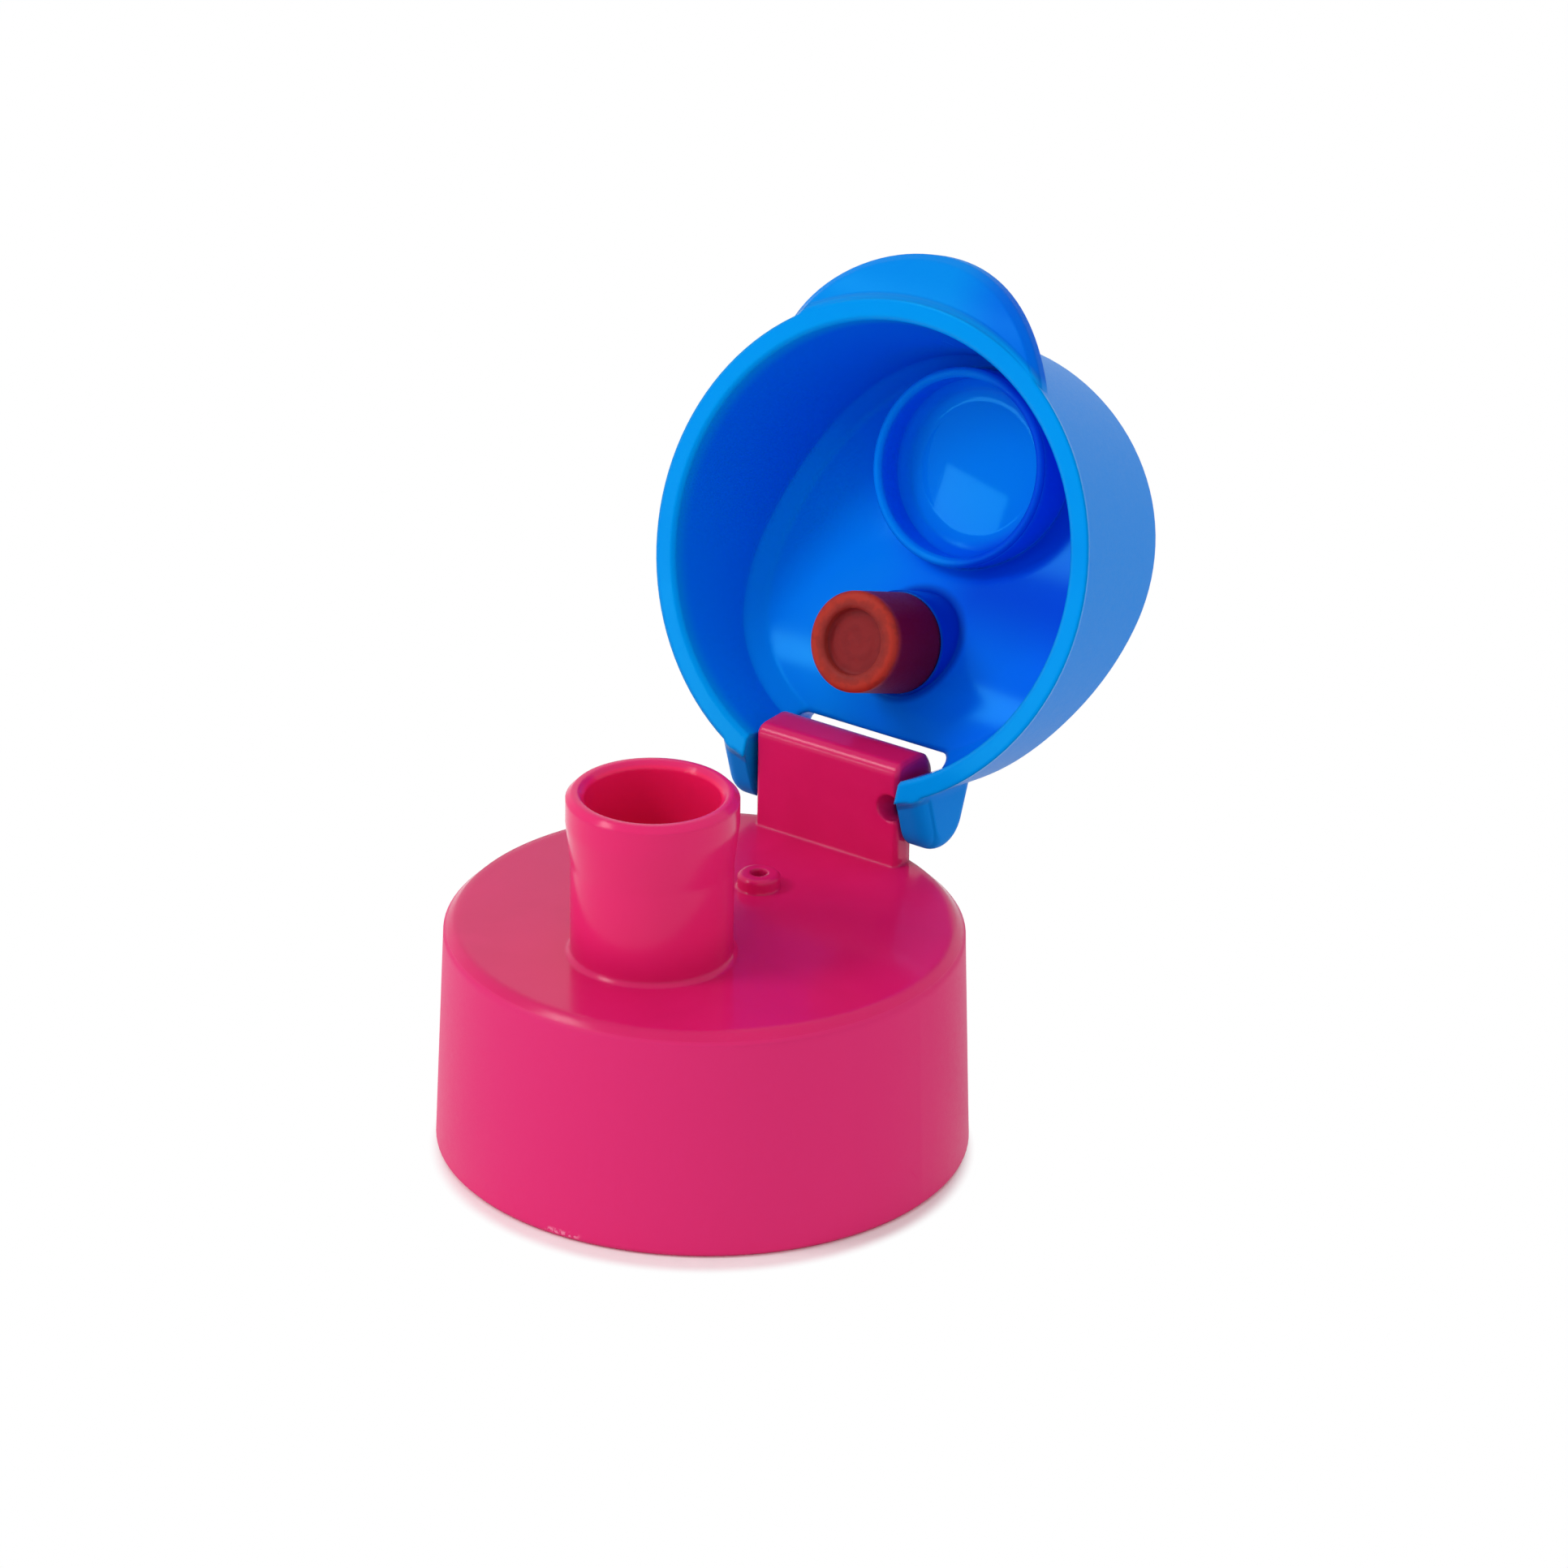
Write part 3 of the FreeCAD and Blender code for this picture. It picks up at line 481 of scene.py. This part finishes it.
base = g.blend(g.product(flowed["Tint"], FLOW_SHARE), PINK, PINK_DEEP)
# Painted light on the spout and inside its mouth, then the pale specks of the scuff.
base = g.paint(base, (skirt, PINK_SKIRT), (stem_painted_light, PINK_SPOUT_PAINTED_LIGHT), (mouth_painted_light, PINK_MOUTH_PAINTED_LIGHT),
               (g.product(scuff, SCUFF_COVER), PINK_SCUFF))

gloss = g.around(PINK_GLOSS, PINK_GLOSS_SPREAD, flowed["Tint"])
satin = g.around(PINK_SATIN, PINK_SATIN_SPREAD, grained["Spread"])
worn = g.product(g.either(marked["Mask"], scuff), MARK_ROUGHNESS)
roughness = g.math("ADD", g.level(skirt, gloss, satin), worn, clamp=True)

relief = g.math("ADD", g.product(grained["Height"], GRAIN_DEPTH), g.product(flowed["Height"], PINK_SINK))
relief = g.math("SUBTRACT", relief, g.product(scuff, SCUFF_DEPTH))
flare = g.product(g.rise(z, FLARE_FOOT), g.fall(z, FLARE_HEAD), g.fall(from_spout, FLARE_SIDE))
shoulder = g.product(g.rise(z, SHOULDER_FOOT), g.rise(radius, SHOULDER_SIDE))
edge = g.around(EDGE, PINK_WIDER_EDGE, g.either(flare, shoulder))

surface = finish_surface(g, base, roughness, relief, edge, shine=0.22)
let_light_in(surface, weight=0.12, reach=(1.0, 0.2, 0.3), depth=1.2 * MM)
dress("screw_cap", pink)

# %% [markdown]
# ## Material: the blue moulding
#
# The cover is the same kind of plastic. Its inside and its rim are polished, and its outside has the grain.
# Turned back to its shut place, the outside is what faces up, or faces outwards near the cone's outer
# wall, and that is how the mask is made. Inside, light and shade are painted into the colour: the hollow
# is painted a deeper blue as painted shade, its left is painted lighter as painted light, with a painted
# highlight along the roof's edge, its right is painted deeper as painted shade, and the place round the
# plug is painted dark as painted shade. All of this is told by where a point is in the hollow. The floor
# of the ring and partly its lip are spared that shade, and the ring's floor gets a lighter painted shade.
# The tab is painted a little deeper than the rim, and deeper still towards its right end, as painted
# shade. The tab's face lies a little lower than the rim, and the floor of the ring is very slightly
# domed, which is what gives it its patch of light. A depth in the names below is how far a point lies
# inside the cone's outer wall.

# %% Blue plastic
BLUE = colour(0, 147, 236)
BLUE_DEEP = colour(0, 138, 230)
BLUE_OUTSIDE = colour(0, 134, 232)
# Painted shade: the hollow is painted a deeper blue.
BLUE_INSIDE_PAINTED_SHADE = colour(0, 110, 243)
# Painted light on the left of the hollow.
BLUE_LEFT_PAINTED_LIGHT = colour(0, 130, 244)
# Painted shade on the right of the roof.
BLUE_RIGHT_PAINTED_SHADE = colour(0, 74, 222)
# Painted shade on the ring's floor, lighter than in the rest of the hollow.
BLUE_RING_FLOOR_LIGHTER_PAINTED_SHADE = colour(0, 130, 240)
# Painted shade round the plug.
BLUE_UNDER_PLUG_PAINTED_SHADE = colour(0, 60, 190)
# Painted shade: the tab a little deeper than the rim, and deeper still at its right end.
BLUE_TAB_PAINTED_SHADE = colour(0, 134, 230)
BLUE_TAB_END_PAINTED_SHADE = colour(0, 100, 222)

FACES_OUT = (0.2, 0.4)
FACES_UP = (0.2, 0.4)
OUTSIDE_DEPTH = (1.2, 1.6)
OUTSIDE_FOOT = band(CAP_TOP, 0.2, 0.6)
HOLLOW_DEPTH = (1.0, 1.7)
HOLLOW_FOOT = band(CAP_TOP, 0.3, 2.5)
RING_FLOOR_SIDE = band(RING_RADIUS, -2.5, -0.5)
RING_FLOOR_HEIGHT = band(RING_FLOOR, -1.2, -0.2)
RING_LIP_HEIGHT = band(RING_LIP, 0.2, 1.2)
RING_LIP_INNER = band(RING_RADIUS, -0.6, -0.2)
RING_LIP_OUTER = band(RING_RADIUS + RING_WALL, 0.2, 0.6)
RING_LIP_SHARE = 0.4
UNDER_PLUG_SIDE = band(PLUG_RADIUS, 0.3, 1.2)

TAB_DEPTH = (-0.8, -0.1)
TAB_FACES_DOWN = (-0.3, 0.0)
TAB_END_X = (1.0, 9.0)
TAB_END_Y = (-18.0, -12.0)
TAB_STEP = 0.3
TAB_ROUGHNESS = 0.15

ROOF_FACES_DOWN = (-0.45, -0.2)
LEFT_ROOF_X = (-8.0, 1.0)
LEFT_ROOF_Y = (-14.0, 0.0)
LEFT_WALL_X = (-15.0, -5.0)
LEFT_WALL_Y = (-12.0, 4.0)
LEFT_WALL_SHARE = 0.4
ROOF_EDGE_FACING = (-0.86, -0.72)
ROOF_EDGE_RADIUS = (12.0, 14.0)
ROOF_EDGE_SHARE = 0.3
RIGHT_ROOF_X = (-1.0, 5.0)
RIGHT_ROOF_Y = (2.0, 9.0)

ROOF_CORNER_DEPTH = band(COVER_WALL, 2.2, 3.2)
ROOF_CORNER_FOOT = band(CAP_TOP, 6.0, 8.0)
RING_CORNER_INNER = band(RING_RADIUS, -3.0, -2.4)
RING_CORNER_OUTER = band(RING_RADIUS, 0.1, 0.3)
RING_CORNER_HEIGHT = band(RING_FLOOR, -3.0, -2.4)

BLUE_GLOSS, BLUE_GLOSS_SPREAD = 0.15, 0.05
BLUE_SATIN, BLUE_SATIN_SPREAD = 0.44, 0.08
BLUE_SINK = 0.05
RING_FLOOR_CALM = -0.035
RING_FLOOR_POLISH = 0.75
RING_DOME = 0.004
BLUE_WIDER_EDGE = 0.5 * MM
BLUE_SHINE_TINT = (0.0, 0.75, 1.0, 1.0)

blue, g = new_material("blue_polypropylene")
place = turned_shut(g, own_place(g), HINGE_PLACE)
x, y, z = g.split(place)
facing_x, facing_y, facing_up = g.split(turned_shut(g, own_facing(g)))
radius = distance_from_axis(g, x, y)
from_ring = distance_from_axis(g, x, y, RING_AXIS_Y)
from_plug = distance_from_axis(g, x, y, PLUG_AXIS_Y)
outward = g.math("DIVIDE", g.math("ADD", g.product(x, facing_x), g.product(y, facing_y)), radius)
outer_wall = g.math("SUBTRACT", COVER_RADIUS, g.product(g.math("SUBTRACT", z, CAP_TOP), COVER_LEAN))
depth = g.math("SUBTRACT", outer_wall, radius)

side_wall = g.product(g.fall(depth, OUTSIDE_DEPTH), g.rise(outward, FACES_OUT))
outside = g.product(g.either(side_wall, g.rise(facing_up, FACES_UP)), g.rise(z, OUTSIDE_FOOT))
hollow = g.product(g.rise(depth, HOLLOW_DEPTH), g.rise(z, HOLLOW_FOOT), g.rest_of(outside))
ring_floor = g.product(g.fall(from_ring, RING_FLOOR_SIDE), g.rise(z, RING_FLOOR_HEIGHT), hollow)
ring_lip = g.product(g.fall(z, RING_LIP_HEIGHT), g.rise(from_ring, RING_LIP_INNER),
                     g.fall(from_ring, RING_LIP_OUTER))
# Where the hollow's painted shade is left off: the ring's floor and partly its lip.
spared_painted_shade = g.either(ring_floor, g.product(ring_lip, RING_LIP_SHARE))
# Painted shade round the plug.
round_plug_painted_shade = g.product(hollow, g.fall(from_plug, UNDER_PLUG_SIDE))
tab = g.fall(depth, TAB_DEPTH)
# Painted shade towards the tab's right end.
tab_end_painted_shade = g.product(g.rise(x, TAB_END_X), g.fall(y, TAB_END_Y))
tab_face = g.product(tab, g.fall(facing_up, TAB_FACES_DOWN))

roof = g.fall(facing_up, ROOF_FACES_DOWN)
on_roof = g.product(hollow, roof)
# Painted light on the left of the roof and wall, with a painted highlight along the roof's edge.
left_half_painted_light = g.product(g.fall(x, LEFT_ROOF_X), g.rise(y, LEFT_ROOF_Y))
roof_edge_painted_highlight = g.product(g.rise(facing_up, ROOF_EDGE_FACING), ROOF_EDGE_SHARE,
                      g.rise(radius, ROOF_EDGE_RADIUS))
left_roof_painted_light = g.product(on_roof, g.either(left_half_painted_light, roof_edge_painted_highlight))
left_wall_painted_light = g.product(g.fall(x, LEFT_WALL_X), LEFT_WALL_SHARE, g.rise(y, LEFT_WALL_Y),
                      hollow, g.rest_of(roof))
# Painted shade on the right of the roof, away from the ring's floor.
right_roof_painted_shade = g.product(g.rise(x, RIGHT_ROOF_X), g.fall(y, RIGHT_ROOF_Y), g.rest_of(ring_floor), on_roof)

grained = g.group(grain, Place=place, Grain_Size=GRAIN_SIZE, Depth=outside)
flowed = g.group(flow, Place=place, Width=18.0, Wave=g.rest_of(outside))
marked = g.group(scratches, Place=place, Spacing=2.8, Amount=0.4)

# The moulding's own blue, then painted shade and painted light in the hollow and on the tab.
base = g.blend(g.product(flowed["Tint"], FLOW_SHARE), BLUE, BLUE_DEEP)
base = g.paint(base, (outside, BLUE_OUTSIDE), (tab, g.blend(tab_end_painted_shade, BLUE_TAB_PAINTED_SHADE, BLUE_TAB_END_PAINTED_SHADE)),
               (ring_floor, BLUE_RING_FLOOR_LIGHTER_PAINTED_SHADE), (g.product(hollow, g.rest_of(spared_painted_shade)), BLUE_INSIDE_PAINTED_SHADE),
               (g.either(left_wall_painted_light, left_roof_painted_light), BLUE_LEFT_PAINTED_LIGHT), (right_roof_painted_shade, BLUE_RIGHT_PAINTED_SHADE),
               (round_plug_painted_shade, BLUE_UNDER_PLUG_PAINTED_SHADE))

gloss = g.around(BLUE_GLOSS, BLUE_GLOSS_SPREAD, flowed["Tint"])
satin = g.around(BLUE_SATIN, BLUE_SATIN_SPREAD, grained["Spread"])
roughness = g.around(g.level(outside, gloss, satin), TAB_ROUGHNESS, tab)
roughness = g.product(roughness, g.rest_of(g.product(ring_floor, RING_FLOOR_POLISH)))
roughness = g.math("ADD", roughness, g.product(marked["Mask"], MARK_ROUGHNESS), clamp=True)

wave = g.around(BLUE_SINK, RING_FLOOR_CALM, ring_floor)
relief = g.math("ADD", g.product(grained["Height"], GRAIN_DEPTH), g.product(flowed["Height"], wave))
relief = g.math("SUBTRACT", relief, g.product(tab_face, TAB_STEP))
relief = g.math("SUBTRACT", relief, g.product(from_ring, from_ring, RING_DOME, ring_floor))
roof_corner = g.product(g.fall(depth, ROOF_CORNER_DEPTH), g.rise(z, ROOF_CORNER_FOOT))
ring_corner = g.product(g.rise(from_ring, RING_CORNER_INNER), g.fall(from_ring, RING_CORNER_OUTER),
                        g.rise(z, RING_CORNER_HEIGHT))
edge = g.around(EDGE, BLUE_WIDER_EDGE, g.product(g.either(roof_corner, ring_corner), hollow))

surface = finish_surface(g, base, roughness, relief, edge, shine=0.2, shine_tint=BLUE_SHINE_TINT)
let_light_in(surface, weight=0.12, reach=(0.1, 0.5, 1.0), depth=1.2 * MM)
dress("flip_cover", blue)

# %% [markdown]
# ## Material: the vent plug
#
# The plug is cast silicone, a dark wine red. Its end face is painted browner and its edge more orange, as
# painted light for the light that passes through the thin rim. The end also keeps faint rings where it has been
# pressed on the nipple.

# %% Plug rubber
WINE = colour(122, 0, 32)
# Painted light: the end face browner and its rim orange.
BROWN_END_PAINTED_LIGHT = colour(146, 44, 40)
ORANGE_RIM_PAINTED_LIGHT = colour(172, 48, 36)
DARK_BROWN = colour(118, 36, 34)
END_HEIGHT = band(PLUG_END, 0.5, 1.4)
RIM_SIDE = band(PLUG_RADIUS, -1.5, -0.7)
RINGS_SIDE = band(PLUG_RADIUS, -1.7, -1.3)
RINGS_RATE = 5.2
RINGS_IN_COLOUR = 0.06
RINGS_DEPTH = 0.015
MOTTLE_BAND = (0.45, 0.62)
MOTTLE_SHARE = 0.35
PLUG_SATIN, PLUG_SATIN_SPREAD = 0.42, 0.1
PLUG_GRAIN_DEPTH = 0.02
PLUG_EDGE = 0.9 * MM

plug, g = new_material("wine_silicone")
place = turned_shut(g, own_place(g), HINGE_PLACE)
x, y, z = g.split(place)
radius = distance_from_axis(g, x, y, PLUG_AXIS_Y)
rings = g.math("SINE", g.product(radius, RINGS_RATE))
mottle = g.noise(place, scale=0.9, detail=4.0)
grained = g.group(grain, Place=place, Grain_Size=0.3, Depth=1.0)

dark_spots = g.ramp(g.around(mottle, RINGS_IN_COLOUR, rings), MOTTLE_BAND, 0.0, MOTTLE_SHARE)
# Painted light on the end face and its rim, with dark mottle over it.
end_painted_light_and_mottle = g.paint(BROWN_END_PAINTED_LIGHT, (g.rise(radius, RIM_SIDE), ORANGE_RIM_PAINTED_LIGHT), (dark_spots, DARK_BROWN))
base = g.paint(WINE, (g.fall(z, END_HEIGHT), end_painted_light_and_mottle))
roughness = g.around(PLUG_SATIN, PLUG_SATIN_SPREAD, grained["Spread"])
ring_relief = g.product(rings, g.fall(radius, RINGS_SIDE), RINGS_DEPTH)
relief = g.math("ADD", g.product(grained["Height"], PLUG_GRAIN_DEPTH), ring_relief)

surface = finish_surface(g, base, roughness, relief, PLUG_EDGE, ior=SILICONE_IOR, shine=0.15)
let_light_in(surface, weight=0.15, reach=(1.0, 0.25, 0.1), depth=1.0 * MM)
dress("vent_plug", plug)

# %% [markdown]
# ## Material: the bottle seal
#
# The ring that seals on the neck of the bottle can't be seen in the photograph. Such rings are plain
# milky silicone, so that is its finish: near white, satin, and a little cloudy.

# %% Seal rubber
MILK = colour(226, 226, 222)
CLOUD = colour(205, 206, 204)
SEAL_SATIN, SEAL_SATIN_SPREAD = 0.48, 0.12
SEAL_GRAIN_DEPTH = 0.02
SEAL_SINK = 0.03
SEAL_EDGE = 0.25 * MM

milky, g = new_material("milky_silicone")
place = own_place(g)
grained = g.group(grain, Place=place, Grain_Size=0.35, Depth=1.0)
flowed = g.group(flow, Place=place, Width=6.0, Wave=1.0)
base = g.blend(flowed["Tint"], MILK, CLOUD)
roughness = g.around(SEAL_SATIN, SEAL_SATIN_SPREAD, grained["Spread"])
relief = g.math("ADD", g.product(grained["Height"], SEAL_GRAIN_DEPTH), g.product(flowed["Height"], SEAL_SINK))
surface = finish_surface(g, base, roughness, relief, SEAL_EDGE, ior=SILICONE_IOR)
let_light_in(surface, weight=0.2, reach=(1.0, 0.2, 0.1), depth=1.5 * MM)
dress("bottle_seal", milky)

# %% [markdown]
# ## The screw thread
#
# Inside the skirt a ridge winds up and grips the neck of the bottle. The solids leave it out, because a
# thread is too fine for them. It is a four-cornered section carried along a helix: wide where it leaves the
# wall and narrow at its crest. Both ends sink back into the wall, as they do on a real moulded thread so
# that it starts easily.

# %% Thread ridge
THREAD_START = 3.6 * MM
THREAD_PITCH = 4.4 * MM
THREAD_TURNS = 2.25
THREAD_DEPTH = 1.1 * MM
THREAD_ROOT_WIDTH = 2.4 * MM
THREAD_CREST_WIDTH = 0.9 * MM
THREAD_ROOT_SINK = 0.15 * MM
THREAD_LEAD = 0.09
STEPS_PER_TURN = 120
CREST_ROUND = 0.25 * MM
CREST_SEGMENTS = 2
CREST_ANGLE = math.radians(25)


def thread_ring(share):
    """Four corners of the ridge's section at a share of its whole length."""
    angle = share * THREAD_TURNS * 2 * math.pi
    middle = THREAD_START + share * THREAD_TURNS * THREAD_PITCH
    ease = min(1.0, share / THREAD_LEAD, (1 - share) / THREAD_LEAD)
    ease = ease * ease * (3 - 2 * ease)
    root = BORE_RADIUS * MM + THREAD_ROOT_SINK
    crest = root - (THREAD_ROOT_SINK + THREAD_DEPTH) * ease
    corners = ((root, -THREAD_ROOT_WIDTH / 2), (crest, -THREAD_CREST_WIDTH / 2),
               (crest, THREAD_CREST_WIDTH / 2), (root, THREAD_ROOT_WIDTH / 2))
    return [Vector((r * math.cos(angle), r * math.sin(angle), middle + up)) for r, up in corners]


def build_thread():
    """Carry the section along the helix and close both ends."""
    mesh = bmesh.new()
    steps = round(THREAD_TURNS * STEPS_PER_TURN)
    rings = [[mesh.verts.new(corner) for corner in thread_ring(step / steps)] for step in range(steps + 1)]
    for ring, following in zip(rings, rings[1:]):
        for side in range(len(ring)):
            after = (side + 1) % len(ring)
            mesh.faces.new((ring[side], ring[after], following[after], following[side]))
    mesh.faces.new(rings[0][::-1])
    mesh.faces.new(rings[-1])
    bmesh.ops.recalc_face_normals(mesh, faces=mesh.faces)
    data = bpy.data.meshes.new("neck_thread_ridge")
    mesh.to_mesh(data)
    mesh.free()
    ridge = bpy.data.objects.new("neck_thread_ridge", data)
    bpy.context.scene.collection.objects.link(ridge)
    soften = ridge.modifiers.new("crest_round", "BEVEL")
    soften.width = CREST_ROUND
    soften.segments = CREST_SEGMENTS
    soften.limit_method = "ANGLE"
    soften.angle_limit = CREST_ANGLE
    for face in data.polygons:
        face.use_smooth = True
    data.materials.append(pink)
    return ridge


thread = build_thread()
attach(thread, "cap")
print("thread faces:", len(thread.data.polygons))
print("thread crest radius:", round(BORE_RADIUS - THREAD_DEPTH / MM, 2), "mm")

# %% [markdown]
# ## Floor and background
#
# The photograph has a white ground with only a thin shadow at the foot of the cap. The floor is a plain
# diffuse surface that shows its real shading in a disc under the cap, which lies a little towards the front.
# Everywhere else an even white takes its place for the camera and in reflections, so the ground stays
# white without more light on the object.

# %% Floor
FLOOR_HALF = 3.0
FLOOR_DROP = 0.02 * MM
PAPER_DARK = colour(247, 247, 247)
PAPER_LIGHT = colour(250, 250, 250)
SHADOW_X = 1.49
SHADOW_Y = -2.13
SHADOW_EDGE = (24.9, 26.7)


def seen_directly(graph):
    """1 for rays from the camera, in a mirror or through glass, and 0 for the rays that light things."""
    rays = graph.add("ShaderNodeLightPath").outputs
    seen = graph.either(rays["Is Camera Ray"], rays["Is Glossy Ray"])
    return graph.either(seen, rays["Is Transmission Ray"])


mesh = bmesh.new()
bmesh.ops.create_grid(mesh, x_segments=1, y_segments=1, size=FLOOR_HALF)
floor_data = bpy.data.meshes.new("floor")
mesh.to_mesh(floor_data)
mesh.free()
floor = bpy.data.objects.new("floor", floor_data)
floor.location.z = cad_box[0][2] - FLOOR_DROP
bpy.context.scene.collection.objects.link(floor)

paper, g = new_material("white_paper")
place = own_place(g)
fibre = g.noise(place, scale=0.5, detail=4.0)
tone = g.blend(g.rise(fibre, MIDDLE_OF_NOISE), PAPER_DARK, PAPER_LIGHT)
real = g.add("ShaderNodeBsdfPrincipled", {"Base Color": tone, "Roughness": 0.8, "Specular IOR Level": 0.1})
even = g.add("ShaderNodeEmission", {"Color": WHITE, "Strength": 1.0})
x, y = g.split(place)[:2]
from_shadow = distance_from_axis(g, g.math("SUBTRACT", x, SHADOW_X), y, SHADOW_Y)
share = g.product(seen_directly(g), g.rise(from_shadow, SHADOW_EDGE))
mixed = g.add("ShaderNodeMixShader", {0: share, 1: real.outputs[0], 2: even.outputs[0]})
g.add("ShaderNodeOutputMaterial", {"Surface": mixed.outputs[0]})
floor_data.materials.append(paper)
print("floor at z =", round(floor.location.z / MM, 3), "mm")

# %% [markdown]
# ## Light
#
# The picture has the soft, even light of a tent: bright walls all round, and a large lamp high on the left of
# the camera. A small lamp, also on the left but low, shines in the floor of the cover's ring. The world
# stands for the walls. It lights gently, and looks white where the glossy plastic reflects it.

# %% World and lamps
TENT_LIGHT = 0.8
LAMP_TARGET = Vector((0.0, 0.0, 0.03))

world = bpy.data.worlds.new("light_tent")
bpy.context.scene.world = world
world.use_nodes = True
g = Graph(world.node_tree)
strength = g.around(TENT_LIGHT, 1.0 - TENT_LIGHT, seen_directly(g))
walls = g.add("ShaderNodeBackground", {"Color": WHITE, "Strength": strength})
g.add("ShaderNodeOutputWorld", {"Surface": walls.outputs[0]})


def direction(azimuth, elevation):
    """Unit vector towards a place seen from the lid: azimuth 0 is the spout's side, positive to its right."""
    a, e = math.radians(azimuth), math.radians(elevation)
    return Vector((math.sin(a) * math.cos(e), -math.cos(a) * math.cos(e), math.sin(e)))


def add_lamp(name, azimuth, elevation, distance, width, power):
    """A square soft lamp that points at the lid."""
    data = bpy.data.lights.new(name, "AREA")
    data.shape = "SQUARE"
    data.size = width
    data.energy = power
    lamp = bpy.data.objects.new(name, data)
    lamp.location = LAMP_TARGET + direction(azimuth, elevation) * distance
    lamp.rotation_euler = direction(azimuth, elevation).to_track_quat("Z", "Y").to_euler()
    bpy.context.scene.collection.objects.link(lamp)
    print(name, "at", [round(part, 3) for part in lamp.location])


add_lamp("key_lamp", azimuth=-41, elevation=43, distance=0.6, width=0.16, power=0.9)
add_lamp("low_lamp", azimuth=-33.3, elevation=9.8, distance=0.6, width=0.09, power=0.16)

# %% [markdown]
# ## Camera
#
# The camera's place was worked out from the photograph by fitting the round edges of the cap and the cover,
# whose real shapes are known: it looks down at 25 degrees, from 35 degrees to the right of the spout's
# side, with a long lens and less than a degree of roll.

# %% Camera
CAMERA_AZIMUTH = 34.9
CAMERA_ELEVATION = 25.11
CAMERA_DISTANCE = 0.8
CAMERA_ROLL = math.radians(0.83)
CAMERA_LENS = 191.94
SENSOR_WIDTH = 36.0
CLIP_START = 0.01
AIM_RIGHT = 7.46 * MM
AIM_HEIGHT = 37.59 * MM

back = direction(CAMERA_AZIMUTH, CAMERA_ELEVATION)
right = Vector((math.cos(math.radians(CAMERA_AZIMUTH)), math.sin(math.radians(CAMERA_AZIMUTH)), 0.0))
up = back.cross(right)
turned_right = right * math.cos(CAMERA_ROLL) + up * math.sin(CAMERA_ROLL)
turned_up = up * math.cos(CAMERA_ROLL) - right * math.sin(CAMERA_ROLL)
camera_data = bpy.data.cameras.new("camera")
camera_data.lens = CAMERA_LENS
camera_data.sensor_width = SENSOR_WIDTH
camera_data.clip_start = CLIP_START
camera = bpy.data.objects.new("camera", camera_data)
aim = right * AIM_RIGHT + Vector((0.0, 0.0, AIM_HEIGHT))
axes = Matrix((turned_right, turned_up, back)).transposed().to_4x4()
camera.matrix_world = Matrix.Translation(aim + back * CAMERA_DISTANCE) @ axes
bpy.context.scene.collection.objects.link(camera)
bpy.context.scene.camera = camera
bpy.context.scene.view_settings.view_transform = "Standard"
print("camera at", [round(part, 4) for part in camera.location])
